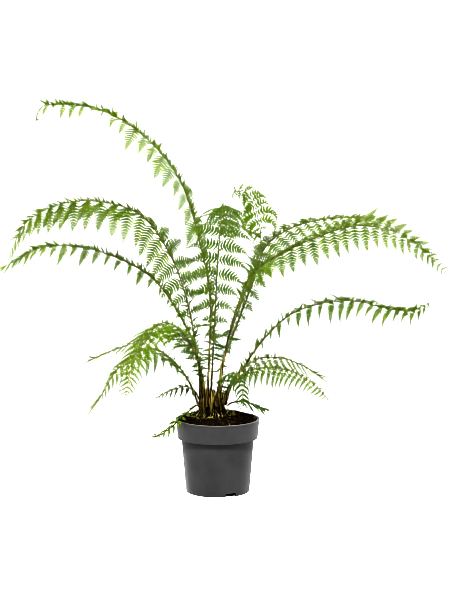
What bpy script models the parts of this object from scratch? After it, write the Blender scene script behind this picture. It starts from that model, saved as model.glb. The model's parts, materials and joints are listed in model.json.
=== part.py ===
# Potted soft tree fern: a nursery pot, its soil, a fibrous crown and arching fronds.
# Metres, +Z up, origin at the centre of the pot's base, -Y toward the viewer.
import math
import random

import bmesh
import bpy
from mathutils import Matrix, Vector
from mathutils.bvhtree import BVHTree

# Clearance between solids that touch or stand in one another
GAP = 0.0004
WELD = 0.00005

# Pot: a deep rim band over a tapering body
POT_HEIGHT = 0.168
RIM_RADIUS = 0.095
BAND_RADIUS = 0.0905
BAND_HEIGHT = 0.044
BODY_RADIUS = 0.082
BASE_RADIUS = 0.071
BASE_ROUND = 0.004
WALL = 0.002
LIP = 0.0012
POT_STEPS = 40

# Drain notches around the foot of the pot
NOTCH_COUNT = 3
NOTCH_WIDTH = 0.027
NOTCH_HEIGHT = 0.008
NOTCH_DEPTH = 0.009
FIRST_NOTCH = -65

# Soil: rises from just under the lip to the crown
SOIL_EDGE = 0.165
SOIL_TOP = 0.179
SOIL_STEPS = POT_STEPS // 2
SOIL_BUMP = 0.0016
# Share of the soil's radius, and of its rise, down its heaped top
SOIL_CREST = ((0.0, 1.0), (0.3, 1.0), (0.5, 0.9), (0.68, 0.7), (0.84, 0.4), (0.94, 0.15))

# Crown: the fibrous stump that all the stipes rise from
CROWN_CENTRE = Vector((-0.013, 0.0, 0.172))
CROWN_RADIUS = 0.034
CROWN_RISE = 0.030
CROWN_LOBES = 11
CROWN_LOBE_DEPTH = 0.05
STIPE_ROOT_HEIGHT = 0.176
STIPE_BURIED = 0.034
STIPE_CLEAR = 0.006

# Stipe and midrib: half width at the foot and at the tip, and depth over half width
RIB_FOOT = 0.0029
RIB_TIP = 0.0007
RIB_DEPTH = 1.5
STIPE_STEP = 0.046

# Leaflets: shape and stance shared by all the fronds
LEAF_ROOT = 0.0045
LEAF_RIDGE = 0.0013
LEAF_SWEEP = 14
UPRIGHT_HOLD = 0.4
LEAST_SPREAD = 32
SPACING_POWER = 1.35
WIDTH_IN_SPACING = 0.48
WIDTH_IN_LENGTH = 0.23
TEETH_LENGTHS = (0.023, 0.044, 0.071)
TEST_MARGIN = 0.0009
OWN_MARGIN = 0.0001
POT_MARGIN = 0.002
RIB_TEST_STEP = 0.012
RIB_TEST_SKIP = 0.010

# Fronds that are young and lime green
LIME_FRONDS = ("frond_high_left", "frond_curled", "frond_rim_left")

# Ways to bend a leaflet clear of its neighbours: droop, forward turn, size
CLEARING_MOVES = (
    (0, 0, 1.0),
    (-16, 0, 1.0),
    (16, 0, 1.0),
    (0, 14, 1.0),
    (-30, -10, 0.9),
    (30, 10, 0.9),
    (0, 0, 0.7),
    (-22, 8, 0.65),
    (22, 8, 0.65),
    (-45, 0, 0.6),
    (0, 0, 0.45),
    (-30, 15, 0.4),
)

# Fronds, taken in this order when leaflets are bent clear.
# azimuth: compass angle from +X; root: radius and angle on the crown;
# path: reach from the pot's axis and height; leaf: longest leaflet;
# fullest: share of the leafy stretch where leaflets are longest; bare: leafless share;
# taper: how fast they shorten beyond that; uneven: share of length that is left to chance;
# droop: degrees of hang on the left and right, looking outward;
# forward: degrees between rib and leaflet; turn: degrees that the blade is turned on its rib;
# droop, forward and turn are given for places spread evenly from foot to tip;
# sag and curl: degrees that a leaflet bends down, and rolls up in its own plane;
# splay: degrees that the left leaflets lean back and the right ones forward
FRONDS = {
    "frond_left_upper": {
        "azimuth": 190, "root": (0.013, 215), "leaf": 0.103, "pairs": 23, "bare": 0.22,
        "fullest": 0.40, "taper": 0.42, "uneven": 0.14, "sag": 34, "curl": 0, "splay": 6,
        "droop": ((10, 18), (60, 46), (66, 52)), "forward": (80, 60), "turn": (-82, -72, -8, 0),
        "path": ((0.047, 0.315), (0.070, 0.441), (0.113, 0.555), (0.171, 0.632),
                 (0.254, 0.664), (0.342, 0.663), (0.427, 0.622), (0.467, 0.550)),
    },
    "frond_right_upper": {
        "azimuth": -10, "root": (0.013, -35), "leaf": 0.078, "pairs": 28, "bare": 0.24,
        "fullest": 0.50, "taper": 0.60, "uneven": 0.30, "sag": 10, "curl": 0, "splay": 0,
        "droop": ((-10, 66), (-8, 64), (0, 20)), "forward": (84, 54), "turn": (0, 0, 64),
        "path": ((0.014, 0.302), (0.042, 0.415), (0.078, 0.500), (0.142, 0.546), (0.222, 0.584),
                 (0.312, 0.612), (0.402, 0.598), (0.474, 0.547), (0.512, 0.512)),
    },
    "frond_high_left": {
        "azimuth": 165, "root": (0.012, 162), "leaf": 0.066, "pairs": 27, "bare": 0.21,
        "fullest": 0.34, "taper": 0.42, "uneven": 0.55, "sag": 34, "curl": 0, "splay": 0,
        "droop": ((70, -4), (64, -4)), "forward": (84, 76), "turn": (0, 0),
        "path": ((0.018, 0.324), (0.016, 0.440), (0.043, 0.579), (0.092, 0.716), (0.160, 0.796),
                 (0.276, 0.865), (0.372, 0.876), (0.413, 0.873), (0.428, 0.856), (0.430, 0.838)),
    },
    "frond_back": {
        "azimuth": 85, "root": (0.012, 112), "leaf": 0.098, "pairs": 20, "bare": 0.23,
        "fullest": 0.55, "taper": 0.60, "uneven": 0.09, "sag": 68, "curl": 0, "splay": 0,
        "droop": ((14, 16), (12, 12), (8, 8)), "forward": (80, 56), "turn": (0, 0),
        "path": ((0.012, 0.300), (0.020, 0.420), (0.042, 0.530), (0.086, 0.608),
                 (0.152, 0.638), (0.232, 0.616), (0.306, 0.548)),
    },
    "frond_right_back": {
        "azimuth": 30, "root": (0.013, 15), "leaf": 0.060, "pairs": 25, "bare": 0.24,
        "fullest": 0.40, "taper": 0.60, "uneven": 0.15, "sag": 34, "curl": 0, "splay": 0,
        "droop": ((-20, 52), (0, 48)), "forward": (80, 42), "turn": (0, 0),
        "path": ((0.020, 0.313), (0.045, 0.368), (0.090, 0.468), (0.128, 0.556),
                 (0.189, 0.592), (0.270, 0.609), (0.380, 0.610), (0.490, 0.598)),
    },
    "frond_left_middle": {
        "azimuth": 172, "root": (0.024, 168), "leaf": 0.056, "pairs": 22, "bare": 0.28,
        "fullest": 0.60, "taper": 0.32, "uneven": 0.40, "sag": 34, "curl": 0, "splay": 0,
        "droop": ((62, 0), (54, 0), (30, 10)), "forward": (84, 70, 14), "turn": (0, 0),
        "path": ((0.052, 0.335), (0.086, 0.403), (0.150, 0.488), (0.235, 0.534),
                 (0.328, 0.557), (0.421, 0.548), (0.468, 0.520), (0.506, 0.504)),
    },
    "frond_curled": {
        "azimuth": 25, "root": (0.012, 62), "leaf": 0.074, "pairs": 11, "bare": 0.74,
        "fullest": 0.20, "taper": 1.10, "uneven": 0.20, "sag": 34, "curl": 150, "splay": 0,
        "droop": ((34, 0), (20, 10)), "forward": (90, 112, 80), "turn": (66, 66),
        "path": ((0.024, 0.323), (0.056, 0.413), (0.090, 0.496), (0.109, 0.562), (0.102, 0.618),
                 (0.088, 0.658), (0.066, 0.684), (0.042, 0.684), (0.036, 0.666)),
    },
    "frond_right_middle": {
        "azimuth": 0, "root": (0.024, -12), "leaf": 0.052, "pairs": 22, "bare": 0.20,
        "fullest": 0.50, "taper": 0.30, "uneven": 0.40, "sag": 8, "curl": 0, "splay": 0,
        "droop": ((-8, 60), (-4, 58), (0, 34)), "forward": (84, 136, 146), "turn": (0, 0, 40),
        "path": ((0.030, 0.245), (0.060, 0.290), (0.105, 0.352), (0.163, 0.406), (0.235, 0.432),
                 (0.310, 0.437), (0.385, 0.420), (0.445, 0.416), (0.480, 0.434)),
    },
    "frond_front_left": {
        "azimuth": 235, "root": (0.024, 247), "leaf": 0.064, "pairs": 26, "bare": 0.18,
        "fullest": 0.60, "taper": 0.50, "uneven": 0.10, "sag": 14, "curl": 0, "splay": 0,
        "droop": ((34, 34), (8, 8)), "forward": (80, 62), "turn": (0, 0),
        "path": ((0.050, 0.262), (0.088, 0.336), (0.146, 0.390), (0.209, 0.411),
                 (0.278, 0.372), (0.322, 0.317), (0.338, 0.270)),
    },
    "frond_left_front": {
        "azimuth": 207, "root": (0.024, 206), "leaf": 0.068, "pairs": 23, "bare": 0.18,
        "fullest": 0.42, "taper": 1.40, "uneven": 0.24, "sag": 26, "curl": 0, "splay": 0,
        "droop": ((40, 8), (50, 20)), "forward": (80, 38), "turn": (0, 0),
        "path": ((0.069, 0.256), (0.110, 0.308), (0.160, 0.340), (0.208, 0.330),
                 (0.252, 0.294), (0.291, 0.238), (0.327, 0.195)),
    },
    "frond_left_low": {
        "azimuth": 157, "root": (0.024, 146), "leaf": 0.054, "pairs": 23, "bare": 0.18,
        "fullest": 0.45, "taper": 1.00, "uneven": 0.16, "sag": 24, "curl": 0, "splay": 0,
        "droop": ((34, -14), (30, 0)), "forward": (80, 38), "turn": (0, 0),
        "path": ((0.040, 0.258), (0.060, 0.322), (0.098, 0.356), (0.142, 0.360),
                 (0.220, 0.326), (0.290, 0.298), (0.348, 0.269)),
    },
    "frond_right_low_back": {
        "azimuth": 20, "root": (0.024, 36), "leaf": 0.046, "pairs": 22, "bare": 0.16,
        "fullest": 0.5, "taper": 0.70, "uneven": 0.14, "sag": 18, "curl": 0, "splay": 0,
        "droop": ((0, 58), (0, 40)), "forward": (80, 42), "turn": (0, 0),
        "path": ((0.026, 0.232), (0.056, 0.272), (0.098, 0.299), (0.150, 0.300),
                 (0.210, 0.277), (0.272, 0.235)),
    },
    "frond_right_low_front": {
        "azimuth": -28, "root": (0.024, -36), "leaf": 0.050, "pairs": 24, "bare": 0.16,
        "fullest": 0.5, "taper": 0.70, "uneven": 0.14, "sag": 12, "curl": 0, "splay": 0,
        "droop": ((10, 64), (14, 56)), "forward": (104, 130), "turn": (0, 10),
        "path": ((0.032, 0.240), (0.064, 0.275), (0.112, 0.294), (0.168, 0.294),
                 (0.228, 0.274), (0.281, 0.231)),
    },
    "frond_short_front": {
        "azimuth": 300, "root": (0.024, -64), "leaf": 0.042, "pairs": 14, "bare": 0.22,
        "fullest": 0.5, "taper": 0.50, "uneven": 0.15, "sag": 34, "curl": 0, "splay": 0,
        "droop": ((38, 38), (20, 20)), "forward": (80, 50), "turn": (0, 0),
        "path": ((0.030, 0.240), (0.054, 0.278), (0.082, 0.284), (0.104, 0.266),
                 (0.113, 0.239), (0.114, 0.214)),
    },
    "frond_rim_left": {
        "azimuth": 218, "root": (0.024, 226), "leaf": 0.030, "pairs": 11, "bare": 0.24,
        "fullest": 0.4, "taper": 0.75, "uneven": 0.2, "sag": 34, "curl": 0, "splay": 0,
        "droop": ((4, 4), (4, 4)), "forward": (70, 36), "turn": (0, 0),
        "path": ((0.050, 0.204), (0.095, 0.186), (0.143, 0.157), (0.175, 0.147), (0.196, 0.149)),
    },
    "frond_short_left": {
        "azimuth": 186, "root": (0.024, 187), "leaf": 0.034, "pairs": 10, "bare": 0.20,
        "fullest": 0.4, "taper": 0.60, "uneven": 0.2, "sag": 34, "curl": 0, "splay": 0,
        "droop": ((34, -8), (34, 0)), "forward": (80, 50), "turn": (0, 0),
        "path": ((0.044, 0.218), (0.068, 0.242), (0.100, 0.236), (0.140, 0.218)),
    },
    "frond_rim_right": {
        "azimuth": 8, "root": (0.024, 12), "leaf": 0.038, "pairs": 8, "bare": 0.20,
        "fullest": 0.5, "taper": 0.60, "uneven": 0.15, "sag": 34, "curl": 0, "splay": 0,
        "droop": ((-10, 16), (6, 6)), "forward": (80, 46), "turn": (0, 0),
        "path": ((0.026, 0.200), (0.056, 0.206), (0.088, 0.194), (0.116, 0.186)),
    },
}

# Colours and roughness
SKINS = {
    "pot": ((0.055, 0.055, 0.058), 0.6),
    "soil": ((0.030, 0.019, 0.012), 0.95),
    "crown": ((0.070, 0.038, 0.018), 0.9),
    "frond": ((0.110, 0.270, 0.040), 0.5),
    "frond_lime": ((0.230, 0.430, 0.060), 0.5),
}


def clear_scene():
    for thing in list(bpy.data.objects):
        bpy.data.objects.remove(thing, do_unlink=True)


def make_collection(name):
    collection = bpy.data.collections.new(name)
    bpy.context.scene.collection.children.link(collection)
    return collection


def make_skin(name):
    colour, roughness = SKINS[name]
    skin = bpy.data.materials.new(name)
    skin.use_nodes = True
    shader = skin.node_tree.nodes["Principled BSDF"]
    shader.inputs["Base Color"].default_value = (*colour, 1.0)
    shader.inputs["Roughness"].default_value = roughness
    return skin


def add_object(name, mesh, collection, skin=None):
    thing = bpy.data.objects.new(name, mesh)
    collection.objects.link(thing)
    if skin:
        mesh.materials.append(skin)
    return thing


def mesh_from(bm, name):
    mesh = bpy.data.meshes.new(name)
    bm.to_mesh(mesh)
    bm.free()
    return mesh


def apply_modifiers(thing):
    # Makes an object's evaluated shape its own mesh, without slivers from the cuts
    graph = bpy.context.evaluated_depsgraph_get()
    mesh = bpy.data.meshes.new_from_object(thing.evaluated_get(graph))
    bm = bmesh.new()
    bm.from_mesh(mesh)
    bmesh.ops.remove_doubles(bm, verts=bm.verts, dist=WELD)
    bmesh.ops.dissolve_degenerate(bm, dist=WELD, edges=bm.edges)
    bmesh.ops.triangulate(bm, faces=bm.faces)
    bm.to_mesh(mesh)
    bm.free()
    thing.modifiers.clear()
    thing.data = mesh


def hide_cutter(thing):
    thing.hide_render = True
    thing.display_type = "WIRE"


def add_turned(name, profile, steps, collection, skin=None):
    # Profile points (radius, height) run down the outer side, ends on the axis
    bm = bmesh.new()
    corners = [bm.verts.new((radius, 0.0, height)) for radius, height in profile]
    for start, end in zip(corners, corners[1:]):
        bm.edges.new((start, end))
    thing = add_object(name, mesh_from(bm, name), collection, skin)
    screw = thing.modifiers.new("turn", "SCREW")
    screw.steps = steps
    screw.render_steps = steps
    screw.use_merge_vertices = True
    screw.merge_threshold = 0.00001
    return thing


def cut_with(thing, cutter):
    cut = thing.modifiers.new("cut", "BOOLEAN")
    cut.operation = "DIFFERENCE"
    cut.object = cutter


def cut_with_all(thing, cutters):
    cut = thing.modifiers.new("cuts", "BOOLEAN")
    cut.operation = "DIFFERENCE"
    cut.operand_type = "COLLECTION"
    cut.collection = cutters


# Pot

def pot_outer():
    # Outer profile from the lip down to the middle of the base
    band_foot = POT_HEIGHT - BAND_HEIGHT
    return [
        (RIM_RADIUS - LIP, POT_HEIGHT),
        (RIM_RADIUS, POT_HEIGHT - LIP),
        (BAND_RADIUS, band_foot + LIP),
        (BAND_RADIUS - LIP, band_foot),
        (BODY_RADIUS, band_foot),
        (BASE_RADIUS + 0.3 * BASE_ROUND, BASE_ROUND),
        (BASE_RADIUS - 0.3 * BASE_ROUND, 0.3 * BASE_ROUND),
        (BASE_RADIUS - BASE_ROUND, 0.0),
        (0.0, 0.0),
    ]


def pot_inner(gap=0.0):
    # Inner profile from the middle of the floor up to the lip, or a step inside it
    band_foot = POT_HEIGHT - BAND_HEIGHT
    thick = WALL + gap
    return [
        (0.0, thick),
        (BASE_RADIUS - thick, thick),
        (BODY_RADIUS - thick, band_foot + WALL + gap),
        (BAND_RADIUS - LIP - thick, band_foot + WALL + gap),
        (RIM_RADIUS - LIP - thick, POT_HEIGHT),
    ]


def add_pot(parts, cutters, skin):
    pot = add_turned("pot", pot_inner() + pot_outer(), POT_STEPS, parts, skin)
    for index in range(NOTCH_COUNT):
        angle = math.radians(FIRST_NOTCH + index * 360 / NOTCH_COUNT)
        bm = bmesh.new()
        bmesh.ops.create_cube(bm, size=1.0)
        bmesh.ops.scale(bm, vec=(2 * NOTCH_DEPTH, NOTCH_WIDTH, 2 * NOTCH_HEIGHT), verts=bm.verts)
        notch = add_object(f"notch_cutter_{index}", mesh_from(bm, "notch_cutter"), cutters)
        notch.location = (BASE_RADIUS * math.cos(angle), BASE_RADIUS * math.sin(angle), 0.0)
        notch.rotation_euler.z = angle
        hide_cutter(notch)
        cut_with(pot, notch)
    bpy.context.view_layer.update()
    apply_modifiers(pot)
    return pot


# Soil

def radius_at(height, low, high):
    # Radius of a sloping wall between two profile points
    share = (height - low[1]) / (high[1] - low[1])
    return low[0] + share * (high[0] - low[0])


def soil_profile():
    # Down the wall of the pot, with the foot cut back above the drain notches
    floor, base, shoulder, band, rim = pot_inner(GAP)
    edge = (radius_at(SOIL_EDGE, band, rim), SOIL_EDGE)
    lift = NOTCH_HEIGHT + GAP
    notch_reach = BASE_RADIUS - NOTCH_DEPTH - GAP
    foot = [(radius_at(lift, base, shoulder), lift), (notch_reach, lift), (notch_reach - WALL, floor[1])]
    rise = SOIL_TOP - SOIL_EDGE
    crest = [(reach * edge[0], SOIL_EDGE + height * rise) for reach, height in SOIL_CREST]
    return crest + [edge, band, shoulder] + foot + [floor]


def add_soil(parts, cutters, skin):
    soil = add_turned("soil", soil_profile(), SOIL_STEPS, parts, skin)
    apply_modifiers(soil)
    chance = random.Random(3)
    for corner in soil.data.vertices:
        if corner.co.z > SOIL_EDGE + GAP:
            corner.co.z += SOIL_BUMP * chance.uniform(-1.0, 1.0)
    bowl = add_object("crown_cutter", crown_mesh(GAP), cutters)
    hide_cutter(bowl)
    cut_with(soil, bowl)
    bpy.context.view_layer.update()
    apply_modifiers(soil)
    return soil


# Crown

def crown_mesh(gap=0.0):
    # Lobed dome: each lobe is the foot of an old stipe
    bm = bmesh.new()
    bmesh.ops.create_uvsphere(bm, u_segments=2 * CROWN_LOBES, v_segments=8, radius=1.0)
    for corner in bm.verts:
        angle = math.atan2(corner.co.y, corner.co.x)
        lobe = 1.0 + CROWN_LOBE_DEPTH * math.cos(CROWN_LOBES * angle)
        corner.co.x *= lobe * (CROWN_RADIUS + gap)
        corner.co.y *= lobe * (CROWN_RADIUS + gap)
        corner.co.z *= CROWN_RISE + gap
        corner.co += CROWN_CENTRE
    return mesh_from(bm, "crown")


def add_crown(parts, holes, skin):
    crown = add_object("crown", crown_mesh(), parts, skin)
    cut_with_all(crown, holes)
    bpy.context.view_layer.update()
    apply_modifiers(crown)
    return crown


def add_stipe_hole(name, rib, holes):
    # Plain six-sided hole round the stipe's three corners
    foot, exit_point = [rib_middle(rib, mark) for mark in (0.0, STIPE_BURIED)]
    rise = exit_point - foot
    start = foot - GAP * rise.normalized()
    length = rise.length + 4 * GAP
    corner_reach = rib.foot_width * (RIB_DEPTH + 1 / RIB_DEPTH) / 2
    radius = (corner_reach + GAP) / math.cos(math.pi / 6)
    bm = bmesh.new()
    bmesh.ops.create_cone(bm, cap_ends=True, segments=6, radius1=radius, radius2=radius, depth=length)
    turn = Vector((0, 0, 1)).rotation_difference(rise)
    place = Matrix.Translation(start + 0.5 * length * rise.normalized()) @ turn.to_matrix().to_4x4()
    bmesh.ops.transform(bm, matrix=place, verts=bm.verts)
    hole = add_object(f"hole_{name}", mesh_from(bm, "hole"), holes)
    hide_cutter(hole)


# Frond paths

def smooth_path(points, per_span=14):
    # Points on a curve that passes through all the given ones
    gaps = [(end - start).length for start, end in zip(points, points[1:])]
    slopes = [(points[1] - points[0]) / gaps[0]]
    for index in range(1, len(points) - 1):
        before = (points[index] - points[index - 1]) / gaps[index - 1]
        after = (points[index + 1] - points[index]) / gaps[index]
        share = gaps[index - 1] / (gaps[index - 1] + gaps[index])
        slopes.append(before.lerp(after, share))
    slopes.append((points[-1] - points[-2]) / gaps[-1])
    path = [points[0]]
    for index, gap in enumerate(gaps):
        for step in range(1, per_span + 1):
            t = step / per_span
            start_part = (1 + 2 * t) * (1 - t) ** 2 * points[index] + t * (1 - t) ** 2 * gap * slopes[index]
            end_part = t * t * (3 - 2 * t) * points[index + 1] + t * t * (t - 1) * gap * slopes[index + 1]
            path.append(start_part + end_part)
    return path


def frond_path(frond):
    angle = math.radians(frond["azimuth"])
    outward = Vector((math.cos(angle), math.sin(angle), 0.0))
    sideways = Vector((-math.sin(angle), math.cos(angle), 0.0))
    radius, turn = frond["root"]
    turn = math.radians(turn)
    foot = CROWN_CENTRE + radius * Vector((math.cos(turn), math.sin(turn), 0.0))
    foot.z = STIPE_ROOT_HEIGHT
    first_offset = foot.dot(sideways)
    points = [foot]
    count = len(frond["path"])
    for index, (reach, height) in enumerate(frond["path"], start=1):
        sway = first_offset * max(0.0, 1 - index / (0.6 * count)) ** 1.5
        points.append(outward * reach + sideways * sway + Vector((0, 0, height)))
    return smooth_path(points), sideways


def spread_value(values, share):
    # A value at a share of the way through evenly spread ones
    spot = share * (len(values) - 1)
    index = min(int(spot), len(values) - 2)
    return values[index] + (values[index + 1] - values[index]) * (spot - index)


class Rib:
    # A frond's midrib, read by distance from its foot
    def __init__(self, frond):
        self.points, self.sideways = frond_path(frond)
        self.turn = [math.radians(turn) for turn in frond["turn"]]
        self.marks = [0.0]
        for start, end in zip(self.points, self.points[1:]):
            self.marks.append(self.marks[-1] + (end - start).length)
        self.length = self.marks[-1]
        self.foot_width = RIB_FOOT * min(1.0, 0.45 + 0.9 * self.length)

    def at(self, distance):
        # Point, and the directions along, to the left and up from the blade
        index = 1
        while index < len(self.marks) - 1 and self.marks[index] < distance:
            index += 1
        start, end = self.points[index - 1], self.points[index]
        share = (distance - self.marks[index - 1]) / (self.marks[index] - self.marks[index - 1])
        before = self.points[max(index - 2, 0)]
        after = self.points[min(index + 1, len(self.points) - 1)]
        along = (end - before).normalized().lerp((after - start).normalized(), share).normalized()
        left = (self.sideways - self.sideways.dot(along) * along).normalized()
        left = turned(left, along.cross(left), spread_value(self.turn, distance / self.length))[0]
        return start.lerp(end, share), along, left, along.cross(left)

    def half_width(self, distance):
        return self.foot_width + (RIB_TIP - self.foot_width) * (distance / self.length) ** 0.8


# Leaflets

def leaf_size(share, fullest, taper):
    # Leaflet length over the longest, at a share of the leafy stretch
    rise = 0.26 + 0.74 * math.sin(0.5 * math.pi * min(1.0, share / fullest))
    fall = min(1.0, (1.0 - share) / (1.0 - fullest)) ** taper
    return rise * fall


def leaf_outline(share):
    # Leaflet half width over the widest, at a share of its length
    return 1.12 * min(1.0, 0.62 + 1.9 * share) * (1.0 - share) ** 0.8


def teeth_count(length):
    return sum(1 for limit in TEETH_LENGTHS if length >= limit)


def hang(level, droop):
    # A direction turned toward straight down, but never past it
    down = Vector((0, 0, -1))
    plumb = down - down.dot(level) * level
    room = 0.85 * level.angle(down)
    return level * math.cos(min(droop, room)) + plumb.normalized() * math.sin(min(droop, room))


class Leaf:
    # One leaflet: a thin ridged blade in flat parts, with a tooth on each side of a part
    def __init__(self, rib, side, start, end, length, spacing, droop, forward, sag, curl):
        self.side = side
        self.start = start
        self.end = end
        self.length = length
        self.teeth = teeth_count(length)
        self.sag = math.radians(sag)
        self.curl = math.radians(curl) * self.teeth / len(TEETH_LENGTHS)
        along, left = rib.at(0.5 * (start + end))[1:3]
        forward = math.radians(forward)
        level = along * math.cos(forward) + side * left * math.sin(forward)
        aim = hang(level, math.radians(droop) * (1.0 - UPRIGHT_HOLD * abs(along.z)))
        spread = max(aim.angle(along), math.radians(LEAST_SPREAD))
        away = (aim - aim.dot(along) * along).normalized()
        self.aim = along * math.cos(spread) + away * math.sin(spread)
        self.across = (along - along.dot(self.aim) * self.aim).normalized()
        self.face = side * self.across.cross(self.aim)
        room = WIDTH_IN_SPACING * spacing * along.cross(self.aim).length
        self.half_width = min(room, WIDTH_IN_LENGTH * length)
        self.ridge = LEAF_RIDGE * min(1.0, 0.55 + 8 * length)
        self.root_back = rib_corner(rib, start, side)
        self.root_front = rib_corner(rib, end, side)

    def points(self, margin=0.0):
        # Root corners and ridge, then two teeth, two notches and a ridge point a part, then the tip
        aim, across, face = self.aim, self.across, self.face
        root = 0.5 * (self.root_back + self.root_front)
        spots = [self.root_back, self.root_front, root + face * (self.ridge + margin)]
        parts = self.teeth
        bends = max(parts, 1)
        reached = 0.0
        mid = root
        for part in range(1, parts + 1):
            share = 0.92 * part / (parts + 0.5)
            step = (share - reached) * self.length
            tooth_share = reached + 0.62 * (share - reached)
            tooth = mid + aim * 0.62 * step
            tooth_width = self.half_width * leaf_outline(tooth_share) + margin
            notch_width = 0.45 * self.half_width * leaf_outline(share) + margin
            mid = mid + aim * step
            height = self.ridge * (1.0 - 0.45 * share) + margin
            spots += [tooth - across * tooth_width, tooth + across * tooth_width]
            spots += [mid - across * notch_width, mid + across * notch_width, mid + face * height]
            sag = self.sag * face.z / bends
            sweep = (math.radians(LEAF_SWEEP) - self.sag * across.z - self.curl) / bends
            aim, face = turned(aim, face, -sag)
            aim, across = turned(aim, across, sweep)
            reached = share
        if parts == 0:
            tooth = mid + aim * 0.45 * self.length
            reach = across * (self.half_width + margin)
            spots += [tooth - reach, tooth + reach]
        spots.append(mid + aim * ((1.0 - reached) * self.length + margin))
        return spots

    def test_tree(self, margin):
        # The leaflet grown by a margin above and below, from just off its root
        above = self.points(margin)
        below = [spot.copy() for spot in above]
        for index in ridge_indices(self.teeth):
            below[index] -= self.face * (self.ridge + 2 * margin)
        top, bottom = leaf_faces(self.teeth)
        count = len(above)
        faces = top + [tuple(index + count for index in face) for face in top]
        faces = [face for face in faces if not {0, 1, count, count + 1}.intersection(face)]
        return BVHTree.FromPolygons(above + below, faces)


def turned(first, second, angle):
    # Two square directions turned in their own plane
    return (
        first * math.cos(angle) + second * math.sin(angle),
        second * math.cos(angle) - first * math.sin(angle),
    )


def rib_middle(rib, distance):
    # Middle of the circle through the section's three corners
    middle, along, left, up = rib.at(distance)
    return middle - up * rib.half_width(distance) * (RIB_DEPTH - 1 / RIB_DEPTH) / 2


def rib_corner(rib, distance, side):
    middle, along, left, up = rib.at(distance)
    return middle + left * side * rib.half_width(distance)


def ridge_indices(teeth):
    return [2] + [7 + 5 * part for part in range(teeth)]


def leaf_faces(teeth):
    # Corner indices of the top and of the underside, as Leaf.points lists them
    if teeth == 0:
        top = [(0, 2, 3), (2, 5, 3), (2, 1, 4), (2, 4, 5)]
        bottom = [(0, 3, 5), (0, 5, 4), (0, 4, 1)]
        return top, bottom
    top = []
    bottom = []
    back, front, ridge = 0, 1, 2
    for part in range(teeth):
        tooth_back = 3 + 5 * part
        tooth_front, notch_back, notch_front, next_ridge = range(tooth_back + 1, tooth_back + 5)
        top += [(back, ridge, tooth_back), (ridge, next_ridge, tooth_back)]
        top += [(next_ridge, notch_back, tooth_back), (ridge, front, tooth_front)]
        top += [(next_ridge, ridge, tooth_front), (notch_front, next_ridge, tooth_front)]
        bottom += [(back, tooth_back, notch_back), (front, notch_front, tooth_front)]
        bottom += [(back, notch_back, notch_front), (back, notch_front, front)]
        back, front, ridge = notch_back, notch_front, next_ridge
    tip = 3 + 5 * teeth
    top += [(back, ridge, tip), (ridge, front, tip)]
    bottom += [(back, tip, front)]
    return top, bottom


def leafy_start(rib, frond):
    return max(frond["bare"] * rib.length, STIPE_BURIED + STIPE_CLEAR)


def leafy_marks(rib, frond):
    # Stretch of the rib for each leaflet pair, shorter toward the tip
    start = leafy_start(rib, frond)
    leafy = rib.length - start
    shares = [1 - (1 - index / frond["pairs"]) ** SPACING_POWER for index in range(frond["pairs"] + 1)]
    edges = [start + leafy * share for share in shares]
    return list(zip(edges, edges[1:], shares))


def grow_leaves(rib, frond, seed, obstacles):
    # Leaflets of one frond, each bent clear of what is already there
    chance = random.Random(seed)
    own = []
    leaves = []
    for start, end, share in leafy_marks(rib, frond):
        middle = 0.5 * (start + end)
        spacing = end - start
        skip = max(spacing, RIB_TEST_SKIP)
        own_rib = [rib_tree(rib, 0.0, middle - skip)]
        if middle + skip < rib.length:
            own_rib.append(rib_tree(rib, middle + skip, rib.length))
        forward = spread_value(frond["forward"], share ** 1.5)
        for side, droop in zip((1, -1), zip(*frond["droop"])):
            size = leaf_size(share, frond["fullest"], frond["taper"])
            length = frond["leaf"] * size * chance.uniform(1 - frond["uneven"], 1.05)
            tilt = spread_value(droop, share) + chance.uniform(-7, 7)
            aim = forward + side * frond["splay"] + chance.uniform(-4, 4)
            for more_droop, more_forward, size in CLEARING_MOVES:
                long = length * size
                half_root = min(0.4 * spacing, LEAF_ROOT, 0.3 * long)
                leaf = Leaf(rib, side, middle - half_root, middle + half_root, long, spacing,
                            tilt + more_droop, aim - more_forward, frond["sag"], frond["curl"])
                if in_pot(leaf.points()[-1]):
                    continue
                wide_tree = leaf.test_tree(TEST_MARGIN)
                slim_tree = leaf.test_tree(OWN_MARGIN)
                if any(wide_tree.overlap(other) for other in obstacles):
                    continue
                if any(slim_tree.overlap(other) for other in own + own_rib):
                    continue
                leaves.append(leaf)
                own.append(slim_tree)
                break
    return leaves


def in_pot(point):
    return math.hypot(point.x, point.y) < RIM_RADIUS + POT_MARGIN and point.z < SOIL_TOP + POT_MARGIN


# Frond meshes

def rib_stations(rib, frond, leaves):
    # Distances along the rib where its section is drawn
    bare = leafy_start(rib, frond) - STIPE_BURIED
    bare_steps = max(1, round(bare / STIPE_STEP))
    marks = [0.0]
    for step in range(bare_steps):
        marks.append(STIPE_BURIED + bare * step / bare_steps)
    for start, end, share in leafy_marks(rib, frond):
        found = [leaf for leaf in leaves if start < 0.5 * (leaf.start + leaf.end) < end]
        spread = max((leaf.end - leaf.start for leaf in found), default=0.0)
        if spread:
            middle = 0.5 * (start + end)
            marks += [middle - 0.5 * spread, middle + 0.5 * spread]
    return marks


def rib_tree(rib, start, end):
    # A stretch of the bare rib as an obstacle for leaflets
    steps = max(2, round((end - start) / RIB_TEST_STEP))
    spots = []
    faces = []
    for step in range(steps + 1):
        spots += rib_section(rib, start + (end - start) * step / steps)
    for step in range(steps):
        for corner in range(3):
            low = 3 * step + corner
            next_low = 3 * step + (corner + 1) % 3
            faces += [(low, next_low, next_low + 3, low + 3)]
    return BVHTree.FromPolygons(spots, faces)


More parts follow.
